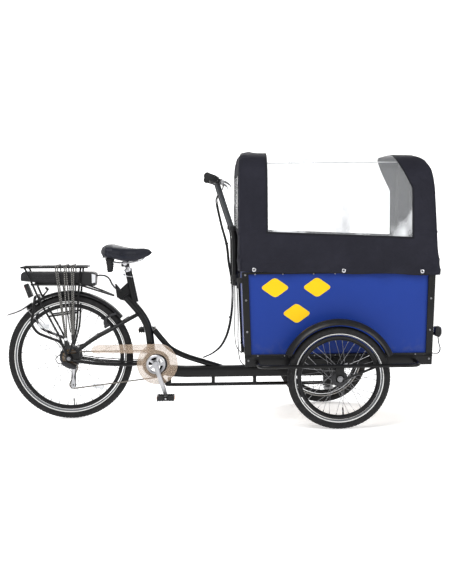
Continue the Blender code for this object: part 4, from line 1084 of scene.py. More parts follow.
def make_rear_guard():
    """Rear mudguard with its flexible flap, struts and the clip that holds the folded stand."""
    guard = domed_arc((0.0, REAR_R), 0.3440, 0.0305, 0.014, 131, 37)
    piece("rear_guard", guard, GUARD, "frame", ["rear_mudguard"])
    flap = slab([(-0.200, 0.6085), (-0.2257, 0.5910), (-0.252, 0.5735), (-0.285, 0.5590), (-0.3240, 0.5465),
                 (-0.3240, 0.5440), (-0.285, 0.5540), (-0.256, 0.5650), (-0.229, 0.5805), (-0.205, 0.6000)],
                -0.026, 0.026)
    piece("guard_flap", flap, RUBBER, "frame")
    for s in (-1, 1):
        strut = smooth([(-0.222, s * 0.0290, 0.5780), (-0.150, s * 0.052, 0.500),
                        (-0.020, s * 0.0715, 0.352)], 20)
        piece(f"guard_strut_{'left' if s > 0 else 'right'}", tube(strut, 0.0017, 10), STEEL, "frame")
    clip = slab([(-0.136, 0.640), (-0.108, 0.676), (-0.122, 0.690), (-0.128, 0.684), (-0.118, 0.672),
                 (-0.142, 0.646)], -0.014, 0.014)
    piece("stand_clip", clip, PLASTIC, "frame", (), 0.001)


def make_stand():
    """Folded U stand of bent tube with flattened eyes on the axle."""
    line = []
    for s in (-1, 1):
        y = s * 0.092
        line.append([(-0.006, y, 0.330), (-0.040, y, 0.405), (-0.090, y, 0.430), (-0.152, y, 0.457),
                     (-0.180, y, 0.490),
                     (-0.187, y, 0.520), (-0.176, y, 0.570), (-0.172, s * 0.090, 0.615),
                     (-0.170, s * 0.070, 0.640)])
    route = line[0] + [(-0.170, 0.0, 0.642)] + line[1][::-1]
    eyes = total(turned([(0.0065, s * 0.0875), (0.0140, s * 0.0875), (0.0140, s * 0.0975),
                         (0.0065, s * 0.0975)][::s],
                        REAR_HUB, 32) for s in (-1, 1))
    piece("stand_tube", tube(smooth(route, 120), 0.0072, 20, False) + eyes, BLACK, "stand", ["rear_stand"])


# ---- cargo box --------------------------------------------------------------------------------
def flare(x, y, z):
    """Lean the box walls outward with height: sides by rise over half width, ends over half length."""
    rise = BOX_FLARE * (z - BOX_MID_Z)
    wider = y * (1 + rise / BOX_HALF_WIDTH)
    return (BOX_MID_X + (x - BOX_MID_X) * (1 + rise / BOX_HALF_LENGTH), wider, z)


def flared(shape):
    """Apply the lean of the box to every corner of a shape built upright."""
    return Shape(np.array([flare(*p) for p in shape.points]), shape.faces)


def lozenge(x, z, width, height, y0, y1, corner=0.22, steps=8):
    """Plain four-cornered mark with rounded points."""
    tips = np.array([(x + width / 2, z), (x, z + height / 2), (x - width / 2, z), (x, z - height / 2)])
    line = []
    for i, tip in enumerate(tips):
        before = tip + (tips[i - 1] - tip) * corner
        after = tip + (tips[(i + 1) % 4] - tip) * corner
        for t in np.linspace(0, 1, steps):
            line.append((1 - t) ** 2 * before + 2 * t * (1 - t) * tip + t ** 2 * after)
    return slab(line, y0, y1)


def make_box():
    """Blue side and end panels between black rails and bolted posts, floor, bench and fittings."""
    for side, s in SIDES.items():
        near, far = sorted((s * 0.2995, s * 0.3085))
        panel = flared(block((0.9020, near, 0.346), (1.8240, far, 0.772)))
        piece(f"side_panel_{side}", panel, BLUE, "front", [f"box_panel_{side}"], 0.0008)
        low, high = sorted((s * 0.3088, s * 0.3208))
        bottom, top = sorted((s * 0.2700, s * 0.3208))
        parts = [block((0.8900, bottom, 0.3000), (1.8360, top, 0.3457)),
                 block((0.8900, low, 0.3450), (1.8360, high, 0.3600)),
                 block((0.8900, low, 0.7600), (1.8360, high, 0.7710))]
        for x in (0.8900, 1.8030):
            parts.append(block((x, low, 0.3450), (x + 0.0330, high, 0.7600)))
        frame = flared(total(parts))
        piece(f"side_frame_{side}", frame, BLACK, "front", [f"box_frame_{side}"], 0.0016)
        lug = block((1.3330, *sorted((s * 0.3030, s * 0.3285))[:1], 0.236),
                    (1.3730, sorted((s * 0.3030, s * 0.3285))[1], 0.344))
        axle = turned([(0.0060, 0.3205), (0.0060, 0.4620)], (0, 0, 0), 24)
        axle = axle.copies([(np.diag([1.0, s, 1.0]), np.array([1.353, 0.0, 0.253]))])
        piece(f"axle_lug_{side}", lug, BLACK, "front", (), 0.003)
        piece(f"axle_pin_{side}", axle, STEEL, "front")
        heads = []
        for x in (0.9065, 1.8195):
            for z in (0.330, 0.474, 0.631, 0.757):
                heads.append(bolt(flare(x, s * 0.3208, z), (0, s, 0), 0.0048))
        for x in (0.955, 1.090, 1.240, 1.345, 1.470, 1.620, 1.750):
            heads.append(bolt(flare(x, s * 0.3208, 0.3530), (0, s, 0), 0.0036))
            heads.append(bolt(flare(x, s * 0.3208, 0.7600), (0, s, 0), 0.0036))
        piece(f"frame_bolts_{side}", total(heads), STEEL, "front")
        marks = []
        for x, z in ((1.051, 0.692), (1.258, 0.692), (1.155, 0.563)):
            marks.append(flared(lozenge(x, z, 0.145, 0.104, *sorted((s * 0.3084, s * 0.3092)))))
        piece(f"yellow_marks_{side}", total(marks), YELLOW, "front")
        edges = []
        for x, start, end in ((0.9045, 0.362, 0.746), (1.8215, 0.362, 0.746)):
            edges.append([flare(x, s * 0.3140, start), flare(x, s * 0.3140, end)])
        piece(f"corner_trim_{side}", total(tube(e, 0.0045, 12) for e in edges), BLACK, "front")
    for name, x0, x1 in (("front", 1.8150, 1.8240), ("rear", 0.9020, 0.9110)):
        end = flared(block((x0, -0.3080, 0.346), (x1, 0.3080, 0.772)))
        piece(f"end_panel_{name}", end, BLUE, "front", [f"box_panel_{name}"], 0.0008)
    piece("box_floor_board", flared(block((0.9125, -0.2980, 0.346), (1.8135, 0.2980, 0.355))), PLYWOOD,
          "front", ["box_floor"])
    seat = flared(block((0.9120, -0.2980, 0.560), (1.1920, 0.2980, 0.572)))
    seat = seat + flared(block((1.1780, -0.2980, 0.356), (1.1900, 0.2980, 0.5605)))
    piece("bench_boards", seat, PLYWOOD, "front", ["bench"], 0.0015)
    hanger = []
    hanger.append(slab([(0.871, 0.716), (0.892, 0.716), (0.892, 0.742), (0.871, 0.742)], -0.318, -0.302))
    hanger.append(slab([(0.861, 0.690), (0.873, 0.690), (0.873, 0.742), (0.861, 0.742)], -0.316, -0.304))
    piece("hanging_bracket", total(hanger), PLASTIC, "front", (), 0.002)


def make_under_box():
    """Kingpin, cradle, the bumper rails with their outer axle plates, and the brake plate."""
    pin = turned([(0.0001, 0.1375), (0.0240, 0.1375), (0.0262, 0.1395), (0.0262, 0.1480), (0.0125, 0.1500),
                  (0.0125, 0.2996), (0.0001, 0.2996)], (1.345, 0, 0), 40, "Z")
    piece("kingpin_bolt", pin, STEEL, "front", ["kingpin"])
    repaint(BLACK, "floor_cradle")
    for side, s in SIDES.items():
        y = s * 0.452
        rail = tube(smooth([(0.957, s * 0.3165, 0.318), (0.957, s * 0.395, 0.318), (0.966, s * 0.436, 0.317),
                            (1.000, y, 0.316), (1.100, y, 0.316), (1.600, y, 0.316), (1.700, y, 0.316),
                            (1.734, s * 0.436, 0.317), (1.744, s * 0.395, 0.318), (1.744, s * 0.3165, 0.318)],
                           90),
                    0.0092, 20)
        near, far = sorted((s * 0.4490, s * 0.4550))
        plate = block((1.3330, near, 0.2380), (1.3730, far, 0.3160))
        eye = disc((1.353, 0.253), 0.0205, near, far, 32)
        brace = tube([(1.361, y, 0.246), (1.530, y, 0.312)], 0.0060, 16)
        piece(f"bumper_rail_{side}", rail + brace, BLACK, "front", [f"bumper_{side}"])
        piece(f"outer_axle_plate_{side}", plate + eye, BLACK, "front", (), 0.0010)
        nut = bolt((1.353, s * 0.4550, 0.253), (0, s, 0), 0.0090)
        piece(f"axle_nut_{side}", nut, STEEL, "front")
        guard = domed_arc((FRONT_X, FRONT_R), 0.2900, 0.0345, 0.026, 155, 23, 64, 18, s * 0.400)
        piece(f"front_guard_{side}", guard, GUARD, "front", [f"front_mudguard_{side}"])
        stays = []
        for turn in (150, 28):
            x = FRONT_X + 0.2882 * math.cos(math.radians(turn))
            z = FRONT_R + 0.2882 * math.sin(math.radians(turn))
            foot_x = FRONT_X + (x - FRONT_X) * 0.95
            stays.append(tube(smooth([(x, s * 0.376, z - 0.004), ((x + foot_x) / 2, s * 0.350, 0.368),
                                      (foot_x, s * 0.3230, 0.345)], 14), 0.0036, 12))
        piece(f"guard_stays_{side}", total(stays), BLACK, "front")
        arm = slab([(1.338, 0.236), (1.352, 0.300), (1.400, 0.318), (1.410, 0.308), (1.366, 0.288),
                    (1.362, 0.240)],
                   *sorted((s * 0.3420, s * 0.3470)))
        cable = smooth([(1.405, s * 0.345, 0.312), (1.320, s * 0.336, 0.330), (1.250, s * 0.318, 0.334),
                        (1.180, s * 0.262, 0.320), (1.080, s * 0.140, 0.296), (0.960, s * 0.055, 0.290)], 40)
        piece(f"brake_arm_plate_{side}", arm, SILVER, "front", (), 0.001)
        lead(f"brake_cable_{side}", cable, 0.0024, "front")


# ---- hood -------------------------------------------------------------------------------------
def hood_level(z):
    """Rear x, front x, half width and corner radius of the hood at nominal height z, the front x leaning back
    with height.
    """
    tuck = float(np.interp(z, [0.757, 0.900, 1.050, 1.180, 1.230, 1.262, 1.290, 1.315, 1.330, 1.341],
                           [0.000, 0.001, 0.002, 0.004, 0.009, 0.016, 0.029, 0.048, 0.068, 0.100]))
    rear = 0.871 + 0.25 * tuck
    front = HOOD_FRONT_X - 0.040 * (z - HOOD_FOOT_Z) - 0.80 * tuck
    half = 0.3345 - 1.3 * tuck
    return rear, front, half, 0.016 + 0.10 * tuck


def roof_lift(x, z):
    """Rise of the roof towards the rear, faded in over the shoulder of the hood."""
    return HOOD_SLOPE * (HOOD_FRONT_X - x) * np.clip((z - 1.12) / 0.10, 0, 1)


def outline(z, count):
    """Evenly spaced points of the hood's rounded rectangle at nominal height z, with normals."""
    rear, front, half, corner = hood_level(z)
    length = front - rear - 2 * corner
    width = 2 * half - 2 * corner
    sides = [length, width, length, width]
    bend = corner * math.pi / 2
    whole = sum(sides) + 4 * bend
    points, normals = [], []
    corners = [((front - corner, -half + corner), -90), ((front - corner, half - corner), 0),
               ((rear + corner, half - corner), 90), ((rear + corner, -half + corner), 180)]
    starts = [((rear + corner, -half), (1, 0), (0, -1)), ((front, -half + corner), (0, 1), (1, 0)),
              ((front - corner, half), (-1, 0), (0, 1)), ((rear, half - corner), (0, -1), (-1, 0))]
    for k in range(count):
        walk = whole * k / count
        for i in range(4):
            if walk <= sides[i]:
                (sx, sy), (dx, dy), out = starts[i]
                points.append((sx + dx * walk, sy + dy * walk))
                normals.append(out)
                break
            walk -= sides[i]
            if walk <= bend:
                (cx, cy), start = corners[i]
                turn = math.radians(start + 90 * walk / bend)
                points.append((cx + corner * math.cos(turn), cy + corner * math.sin(turn)))
                normals.append((math.cos(turn), math.sin(turn)))
                break
            walk -= bend
    return np.array(points), np.array(normals)


def hood_folds(x, y, z):
    """Outward drift of the cloth: soft vertical pleats, sag between hoops and a rippled hem."""
    along = x * 1.0 + y * 1.3
    low = np.clip((0.96 - z) / 0.16, 0, 1)
    high = np.clip((z - 0.80) / 0.5, 0, 1)
    pleat = 0.0030 * np.sin(along * 41 + 1.3 * np.sin(z * 7)) * low
    ripple = 0.0016 * np.sin(along * 23 + z * 9.0 + 0.7)
    drape = 0.0036 * np.sin(along * 9.5 + 2.0 * z) * (0.3 + 0.7 * high)
    slant = (1 - np.abs(np.sin(along * 6.5 + z * 17 + 1.6 * np.sin(along * 4.1)))) ** 4
    across = (1 - np.abs(np.sin(along * 8.2 - z * 14 + 1.3 * np.sin(along * 5.3 + 2.0)))) ** 4
    return pleat + ripple + drape + (0.0070 * slant + 0.0060 * across) * (0.25 + 0.75 * low)


def make_hood():
    """Continuous stitched hood of rings closed over the hoops, with film windows set into all four walls."""
    around = 420
    levels = np.concatenate([np.linspace(0.757, 1.18, 62), np.linspace(1.186, 1.341, 24)])
    rings = []
    for z in levels:
        spots, out = outline(float(z), around)
        x, y = spots[:, 0], spots[:, 1]
        lift = roof_lift(x, z)
        height = z + lift + 0 * x
        shift = hood_folds(x, y, height)
        shift = shift + 0.0030 * np.exp(-((z - 0.960) / 0.007) ** 2)
        shift = shift + 0.0012 * np.clip((0.778 - z) / 0.010, 0, 1)
        hem = np.clip((0.80 - z) / 0.043, 0, 1)
        height = height + hem * (0.016 - 0.026 * (x - 0.871) + 0.0030 * np.sin(x * 19 + y * 11))
        for hoop in HOOP_PLACES:
            shift = shift + 0.0026 * np.exp(-((x - hoop) / 0.010) ** 2) * (np.abs(y) > 0.2)
        rings.append(np.column_stack([x + out[:, 0] * shift, y + out[:, 1] * shift, height]))
    last, _ = outline(1.341, around)
    middle = np.array([1.340, 0.0])
    for t in np.linspace(0.06, 0.97, 18):
        flat = last * (1 - t) + middle * t
        crown = 1.341 + HOOD_SLOPE * (HOOD_FRONT_X - flat[:, 0])
        sag = 0.004 * np.sin(flat[:, 0] * 8.3 + 0.5) + 0.0018 * np.sin(flat[:, 1] * 31 + flat[:, 0] * 6)
        drop = -0.010 * np.sin(math.pi * np.clip((flat[:, 0] - 0.936) / 0.824, 0, 1)) * t
        rib = 0.006 * np.exp(-((flat[:, 0] - 0.928) / 0.013) ** 2)
        rings.append(np.column_stack([flat, crown + 0.0055 * math.sin(t * 1.5) + sag * t + drop + rib]))
    grid = np.array(rings)
    rows = len(rings)
    faces = list(quads(rows, around)) + [[(rows - 1) * around + k for k in range(around)]]
    skin = Shape(grid.reshape(-1, 3), faces)
    hood = piece("hood_cloth", skin, HOOD, "front", ["canopy"])
    thicken(hood, 0.0016)
    hoops = []
    for x in HOOP_PLACES:
        hoops.append(tube(smooth([(x, -0.318, 0.790), (x, -0.314, 1.050), (x, -0.306, 1.190),
                                  (x, -0.262, 1.285),
                                  (x, -0.190, 1.316), (x, 0.0, 1.3180), (x, 0.190, 1.316), (x, 0.262, 1.285),
                                  (x, 0.306, 1.190), (x, 0.314, 1.050), (x, 0.318, 0.790)], 80), 0.0070, 18))
    piece("hood_hoops", total(hoops), DARK, "front", ["canopy_hoops"])
    piece("hood_ridge_strap", tube([(0.936, 0, 1.3180), (1.760, 0, 1.3180)], 0.0030, 12), CLEAR_END, "front")
    trims = []
    for s in (-1, 1):
        for x in (0.944, 1.386, 1.774):
            y = s * (hood_level(0.776)[2] + 0.0085)
            ring = turned([(0.0042, -0.0009), (0.0085, -0.0009), (0.0098, 0.0), (0.0085, 0.0009),
                           (0.0042, 0.0009)],
                          (x, y, 0.784 - 0.020 * (x - 0.9)), 28)
            trims.append(ring)
    piece("hood_eyelets", total(trims), SILVER, "front")
    binding = []
    for s in (-1, 1):
        for end, inward in ((0, 1), (1, -1)):
            route = []
            for z in np.linspace(0.765, 1.24, 40):
                level = hood_level(float(z))
                half, inset = level[2], level[3] * 0.3
                route.append((level[end] + inward * inset, s * (half - inset + 0.0015),
                              z + roof_lift(level[end], z)))
            binding.append(tube(route, 0.0026, 8))
    piece("hood_corner_piping", total(binding), BINDING, "front")


def thicken(thing, depth):
    """Give a one-layer skin a real thickness on its inner side."""
    mod = thing.modifiers.new("wall", "SOLIDIFY")
    mod.thickness = depth
    mod.offset = -1.0


# ---- bars, levers, cords and lamp -------------------------------------------------------------
BAR = [(0.722, -0.330, 1.244), (0.748, -0.260, 1.236), (0.762, -0.190, 1.228), (0.764, 0.0, 1.226),
       (0.762, 0.190, 1.228), (0.748, 0.260, 1.236), (0.722, 0.330, 1.244)]


def make_bars():
    """Push bar with its posts, lower sleeves, clamps, ribbed grips, levers and gear shifter."""
    piece("push_bar", tube(smooth(BAR, 60), 0.0111, 24), PLASTIC, "front", ["handlebar"])
    posts, sleeves, clamps = [], [], []
    for s in (-1, 1):
        y = s * 0.190
        posts.append(tube(smooth([(0.7700, y, 1.226), (0.7780, y, 1.190), (0.8200, y, 1.056),
                                  (0.8460, y, 0.978)], 24), 0.0118, 28))
        sleeves.append(tube(smooth([(0.8410, y, 0.994), (0.8510, y, 0.960), (0.8545, y, 0.920),
                                    (0.8550, y, 0.860),
                                    (0.8550, y, 0.700)], 30), 0.0145, 28))
        for z in (0.985, 0.740):
            x = 0.8445 if z > 0.9 else 0.8550
            clamps.append(turned([(0.0140, z - 0.012), (0.0178, z - 0.011), (0.0178, z + 0.011),
                                  (0.0140, z + 0.012)],
                                 (x, y, 0), 32, "Z"))
        clamps.append(block((0.8560, y - 0.016, 0.716), (0.8940, y + 0.016, 0.736)))
        clamps.append(tube([(0.7620, y - 0.017, 1.2275), (0.7620, y + 0.017, 1.2275)], 0.0165, 28))
    piece("grey_posts", total(posts), GREY, "front")
    piece("post_sleeves", total(sleeves), BLACK, "front")
    piece("post_clamps", total(clamps), PLASTIC, "front", (), 0.0012)
    cross = tube([(0.8550, -0.190, 0.9350), (0.8550, 0.190, 0.9350)], 0.0105, 20)
    piece("sleeve_crossbar", cross, BLACK, "front")
    for side, s in SIDES.items():
        line = np.array(smooth([(0.7190, s * 0.3360, 1.2449), (0.7345, s * 0.2970, 1.2405),
                                (0.7480, s * 0.2600, 1.2360)], 60))
        place = np.linspace(0, 1, 60)
        scale = 1.0 + 0.05 * np.sin(place * 150) * (place < 0.9) + 0.12 * np.exp(-(place / 0.04) ** 2)
        scale = scale + 0.14 * np.exp(-((place - 1) / 0.04) ** 2)
        piece(f"grip_rubber_{side}", swept(line, circle(0.0160, 28), scale), RUBBER, "front",
              [f"grip_{side}"])
        perch = tube([(0.7555, s * 0.2330, 1.2330), (0.7640, s * 0.2120, 1.2300)], 0.0175, 24)
        body = swept(smooth([(0.7620, s * 0.2200, 1.2300), (0.7780, s * 0.2190, 1.2280),
                             (0.7960, s * 0.2150, 1.2250)], 10),
                     rounded(0.014, 0.014, 0.004), np.linspace(1.1, 0.75, 10))
        piece(f"lever_perch_{side}", perch + body, DARK, "front")
        blade = swept(smooth([(0.790, s * 0.222, 1.224), (0.814, s * 0.238, 1.215), (0.828, s * 0.275, 1.205),
                              (0.834, s * 0.305, 1.198), (0.832, s * 0.336, 1.1935)], 24),
                      rounded(0.007, 0.012, 0.003),
                      np.concatenate([np.linspace(1.15, 0.8, 20), np.linspace(0.8, 1.05, 4)]))
        pin = turned([(0.0001, 1.2150), (0.0050, 1.2150), (0.0050, 1.2340), (0.0001, 1.2340)],
                     (0.790, s * 0.222, 0), 20, "Z")
        piece(f"lever_blade_{side}", blade + pin, SILVER, f"{side}_lever", [f"brake_lever_{side}"])
    shifter = tube([(0.7520, -0.2440, 1.2340), (0.7590, -0.2160, 1.2300)], 0.0190, 32)
    shifter = shifter + block((0.7400, -0.2360, 1.2120), (0.7720, -0.2100, 1.2230))
    piece("gear_shifter", shifter, PLASTIC, "front", (), 0.0015)
    display = tube([(0.7500, 0.2400, 1.2360), (0.7560, 0.2130, 1.2320)], 0.0170, 24)
    display = display + block((0.7240, 0.1500, 1.2440),
                              (0.7640, 0.1980, 1.2560)) + block((0.7500, 0.1660, 1.2300),
                                                                (0.7620, 0.1820, 1.2450))
    piece("control_pad", display, PLASTIC, "front", (), 0.003)
    bell = turned([(0.0001, 0.0160), (0.0110, 0.0140), (0.0180, 0.0070), (0.0195, 0.0), (0.0180, -0.0010),
                   (0.0001, 0.0010)],
                  (0.7630, 0.120, 1.2420), 36, "Z")
    piece("bell_dome", bell, SILVER, "front")


def lead(name, route, radius, body):
    """Thin cable with both ends on one body, carried whole by it."""
    thing = piece(name, tube(route, radius, 12), CORD, body)
    line = at(route)
    2 * radius


def make_cords():
    """Brake, gear and motor cables: they leave the bar apart, hang as one bundle and enter the beam."""
    spine = [(0.782, 0.030, 1.190), (0.768, 0.020, 1.130), (0.790, 0.010, 1.010), (0.818, 0.0, 0.900),
             (0.829, 0.0, 0.800), (0.846, 0.0, 0.690), (0.842, 0.0, 0.560), (0.822, 0.0, 0.450),
             (0.788, 0.0, 0.376), (0.742, 0.0, 0.334), (0.690, 0.0, 0.3100)]
    starts = [((0.800, -0.205, 1.220), (0.800, -0.120, 1.190)),
              ((0.772, -0.212, 1.214), (0.790, -0.110, 1.150)),
              ((0.800, 0.205, 1.220), (0.802, 0.120, 1.190)), ((0.766, 0.205, 1.226), (0.784, 0.120, 1.150))]
    for k, (first, second) in enumerate(starts):
        turn = TAU * (k + 0.5) / 4
        strand = [first, second]
        for n, (x, y, z) in enumerate(spine[1:]):
            twist = turn + 0.35 * n
            spread = 0.0042 if n < 9 else 0.0036
            strand.append((x + spread * math.cos(twist), y + spread * math.sin(twist), z))
        path = smooth(strand, 150)
        name = ("rear_brake_cable", "gear_cable", "left_lever_cable", "motor_wire")[k]
        thing = unridden(name, tube(path, 0.0025, 10), CORD)
        tuple(at((0.80, 0.0, 0.86)))
        tuple(at((0.77, 0.0, 0.36)))
        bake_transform(thing)
        if k == 0:
            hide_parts("control_cords")
        line = at(path)
    for z, width in ((0.905, 0.009), (0.700, 0.012), (0.520, 0.009)):
        x = float(np.interp(z, [0.450, 0.560, 0.690, 0.800, 0.900], [0.822, 0.842, 0.846, 0.829, 0.818]))
        ring = turned([(0.0070, z - width / 2), (0.0086, z - width / 2), (0.0086, z + width / 2),
                       (0.0070, z + width / 2)],
                      (x, 0.0, 0.0), 28, "Z")
        tie = unridden(f"cable_tie_{round(z * 1000)}", ring, PLASTIC)
        tuple(at((0.80, 0.0, 0.86)))
        tuple(at((0.77, 0.0, 0.36)))
        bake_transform(tie)
    side = smooth([(0.846, -0.150, 0.770), (0.862, -0.200, 0.700), (0.866, -0.262, 0.560),
                   (0.864, -0.285, 0.420),
                   (0.872, -0.290, 0.335), (0.900, -0.270, 0.296)], 60)
    lead("drum_cable_right", side, 0.0024, "front")
    lead("drum_cable_left", np.array(side) * (1, -1, 1), 0.0024, "front")


def unridden(name, shape, finish):
    """A smooth mesh with its finish and no parent, for pieces that run between two bodies."""
    mesh = bpy.data.meshes.new(name)
    mesh.from_pydata(at(shape.points).tolist(), [], shape.faces)
    form = bmesh.new()
    form.from_mesh(mesh)
    bmesh.ops.recalc_face_normals(form, faces=form.faces)
    form.to_mesh(mesh)
    form.free()
    mesh.shade_smooth()
    mesh.materials.append(finish.material)
    thing = bpy.data.objects.new(name, mesh)
    bpy.context.scene.collection.objects.link(thing)
    return thing


def make_headlamp():
    """Small lamp in front of the box: dark housing with its arm, silver reflector and hanging hook."""
    shell = slab([(1.854, 0.482), (1.852, 0.438), (1.872, 0.430), (1.882, 0.436), (1.882, 0.480),
                  (1.874, 0.486)], -0.269, -0.221)
    arm = block((1.8300, -0.253, 0.440), (1.858, -0.237, 0.456))
    piece("headlamp_shell", shell + arm, PLASTIC, "front", ["headlamp"], 0.004)
    dish = turned([(0.0001, -0.004), (0.010, -0.003), (0.019, 0.001), (0.0215, 0.004), (0.0190, 0.005),
                   (0.0001, -0.001)],
                  (0, 0, 0), 36, "Z")
    ahead = np.array([[0.0, 0.0, 1.0], [0.0, 1.0, 0.0], [-1.0, 0.0, 0.0]])
    piece("headlamp_reflector", dish.copies([(ahead, np.array([1.8825, -0.245, 0.4590]))]), SILVER, "front")
    hook = swept(smooth([(1.834, -0.262, 0.352), (1.868, -0.262, 0.350), (1.880, -0.262, 0.372),
                         (1.872, -0.262, 0.404), (1.868, -0.262, 0.440)], 10), rounded(0.012, 0.004, 0.0015))
    piece("headlamp_hook", hook, BLACK, "front")


# ---- finishes ---------------------------------------------------------------------------------
def hood_finish():
    """Dark cloth with a woven relief; clear film where the windows are, edged with stitched binding."""
    finish = Finish("hood", (0.012, 0.012, 0.021), 0.80, Specular_IOR_Level=0.30)
    x, y, z = finish.xyz()
    x = x - float(FOOT[0])
    wide = abs(y)

    def window(grow):
        """Union of the film that runs up both sides and over the roof, and the two end windows."""
        slope = z + (x - 1.015) * 0.0453
        bent = x + (z - 1.176).most(0.0) * 0.5
        side = x.step(1.015 - grow, 0.0015) * (1 - bent.step(1.724 + grow, 0.0015)) * slope.step(0.970 - grow,
                                                                                                 0.0015)
        ends = wide.step(0.262 + grow, 0.0015)
        end = (1 - ends) * z.band(0.985 - grow, 1.245 + grow, 0.0015)
        end = end * ((1 - x.step(0.905, 0.002)) + x.step(1.815, 0.002))
        return side.most(end)

    pane = window(0.0)
    edge = window(0.011) - pane
    thread = ((x + y) * 3300.0).sin() * (z * 3300.0).sin()
    fade = finish.noise(7.0)
    cloth = finish.mix(fade.step(0.6, 0.4) * 0.5, (0.0085, 0.0085, 0.0155), (0.018, 0.018, 0.029))
    cloth = finish.mix(edge, cloth, (0.006, 0.006, 0.010))
    finish.set("Base Color", finish.mix(pane, cloth, (0.90, 0.92, 0.94)))
    finish.set("Roughness", 0.84 - 0.74 * pane)
    glare = finish.noise(5.0, 3.0, (1.0, 1.0, 0.45)).step(0.60, 0.10)
    finish.set("Alpha", 1.0 - pane * (0.90 - 0.50 * glare))
    stitch = ((x + y) * 1250.0).sin() * edge
    seam = z.band(0.948, 0.972, 0.004)
    wave = finish.noise(11.0)
    crease = (1 - abs(finish.noise(4.2, 3.0, (1.0, 1.0, 1.5)) - 0.5) * 9.0).most(0.0)
    fine = (1 - abs(finish.noise(9.0, 3.0) - 0.5) * 9.0).most(0.0)
    cloth_relief = thread * 0.05 + stitch * 0.25 + edge * 0.8 + seam * 0.5 + crease * 2.6 + fine * 1.1
    finish.bump(cloth_relief * (1 - pane) + wave * 0.5 * pane, 0.0020, 0.6)
    return finish


def cargo_panel(name, colour):
    """Painted board with a faint roller texture and rubbed lower edge."""
    finish = Finish(name, colour, 0.42, Specular_IOR_Level=0.22)
    _, _, z = finish.xyz()
    roller = finish.noise(180.0, 2.0)
    cloud = finish.noise(3.0)
    rub = (1 - z.step(0.40, 0.10)) * finish.noise(30.0).step(0.58, 0.2)
    shade = tuple(0.90 * c for c in colour)
    worn = tuple(0.5 * c + 0.06 for c in colour)
    paint = finish.mix(cloud.step(0.5, 0.7), colour, shade)
    finish.set("Base Color", finish.mix(rub * 0.35, paint, worn))
    finish.set("Roughness", 0.36 + 0.20 * roller)
    finish.bump(roller, 0.00020, 0.4)
    return finish


def plywood_finish():
    """Birch plywood: wavy drawn-out grain."""
    finish = Finish("plywood", (0.52, 0.36, 0.20), 0.55)
    _, y, _ = finish.xyz()
    wave = finish.noise(5.0, 2.0, (1.0, 0.25, 1.0))
    grain = ((y * 40.0 + wave * 16.0).sin() * 0.5 + 0.5) * 0.6 + finish.noise(60.0, 3.0,
                                                                              (1.0, 0.08, 1.0)) * 0.4
    finish.set("Base Color", finish.mix(grain, (0.56, 0.40, 0.24), (0.38, 0.24, 0.12)))
    finish.set("Roughness", 0.50 + 0.2 * grain)
    finish.bump(grain, 0.0002, 0.3)
    return finish


def strap_finish():
    """Rubbery cord with a pale woven fleck."""
    finish = Finish("strap", (0.05, 0.05, 0.05), 0.7)
    x, y, z = finish.xyz()
    fleck = ((z * 900.0 + x * 500.0).sin() * (y * 900.0 + z * 300.0).sin()).step(0.25, 0.2)
    finish.set("Base Color", finish.mix(fleck, (0.022, 0.022, 0.022), (0.30, 0.29, 0.27)))
    finish.bump(fleck, 0.0003, 0.4)
    return finish


def lens_finish():
    """Ribbed red lens."""
    finish = Finish("red_lens", (0.40, 0.008, 0.008), 0.18, Coat_Weight=0.6)
    _, y, _ = finish.xyz()
    ribs = (y * 1500.0).sin()
    tone = finish.noise(80.0)
    finish.set("Base Color", finish.mix(tone, (0.36, 0.006, 0.006), (0.52, 0.02, 0.015)))
    finish.bump(ribs, 0.0004, 0.5)
    return finish


def tinted_guard():
    """Smoked tan plastic, partly clear, with swirl marks from cleaning."""
    finish = Finish("tinted_guard", (0.50, 0.38, 0.28), 0.22)
    mark = finish.noise(26.0, 5.0)
    finish.set("Base Color", finish.mix(mark.step(0.55, 0.35), (0.50, 0.38, 0.28), (0.38, 0.28, 0.20)))
    finish.set("Roughness", 0.18 + 0.25 * mark)
    finish.set("Alpha", 0.36 + 0.14 * mark)
    finish.bump(mark, 0.0003, 0.2)
    return finish


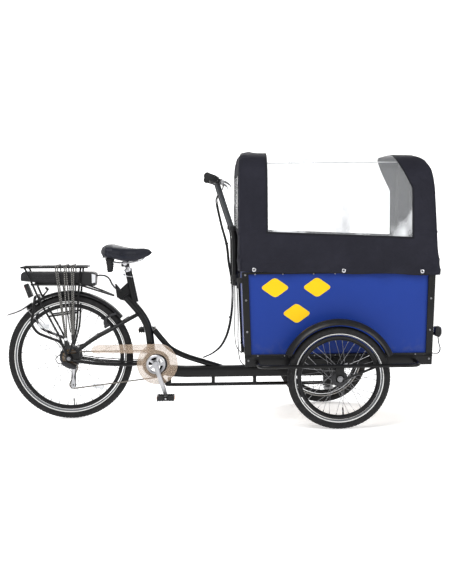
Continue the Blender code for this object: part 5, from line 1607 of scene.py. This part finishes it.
SILVER = brushed("silver_metal", (0.55, 0.55, 0.57), 0.28, 1.0)
STEEL = brushed("plain_steel", (0.26, 0.26, 0.27), 0.34, 1.0)
CHAIN_STEEL = brushed("chain_steel", (0.20, 0.18, 0.16), 0.42, 0.9)
COG_STEEL = brushed("cog_steel", (0.24, 0.17, 0.11), 0.44, 0.9)
DARK = brushed("dark_metal", (0.035, 0.035, 0.038), 0.40, 0.55)
BLACK = enamel("black_enamel", (0.0045, 0.0045, 0.005), 0.24, (0.014, 0.014, 0.014))
RIM = brushed("black_rim", (0.012, 0.012, 0.013), 0.34, 0.5)
GREY = enamel("grey_enamel", (0.050, 0.053, 0.058), 0.34, (0.08, 0.08, 0.085))
BLUE = cargo_panel("blue_board", (0.0085, 0.0370, 0.2500))
YELLOW = cargo_panel("yellow_board", (0.90, 0.56, 0.004))
PLYWOOD = plywood_finish()
HOOD = hood_finish()
BINDING = moulded("binding_tape", (0.018, 0.018, 0.027), 0.8, 1400.0)
PLASTIC = moulded("black_plastic", (0.017, 0.017, 0.018), 0.46)
GUARD = moulded("guard_plastic", (0.014, 0.014, 0.015), 0.30, 300.0, 0.00004)
RUBBER = moulded("rubber", (0.016, 0.016, 0.017), 0.74, 800.0)
SADDLE = moulded("saddle_vinyl", (0.012, 0.013, 0.020), 0.44, 640.0, 0.00016)
BATTERY = moulded("battery_shell", (0.018, 0.018, 0.020), 0.38, 700.0)
CORD = moulded("cable_jacket", (0.014, 0.014, 0.015), 0.48, 1600.0, 0.00003)
CLEAR_END = moulded("pale_plastic", (0.66, 0.67, 0.69), 0.30, 200.0, 0.00005)
STRAP = strap_finish()
RED = lens_finish()
TAN = tinted_guard()
AMBER = moulded("amber_lens", (0.75, 0.26, 0.02), 0.25, 900.0, 0.0002)
REFLECTOR = moulded("clear_reflector", (0.72, 0.73, 0.75), 0.22, 900.0, 0.0003)
REFLECTOR.shader.inputs["Coat Weight"].default_value = 0.5

set_camera()
set_studio()
make_rear_wheel()
for side_name, side_sign in SIDES.items():
    make_front_wheel(side_name, side_sign)
make_chain()
make_cranks()
make_drivetrain()
make_frame()
make_brake()
make_saddle()
make_rack()
make_rear_guard()
make_stand()
make_box()
make_under_box()
make_hood()
make_bars()
make_cords()
make_headlamp()
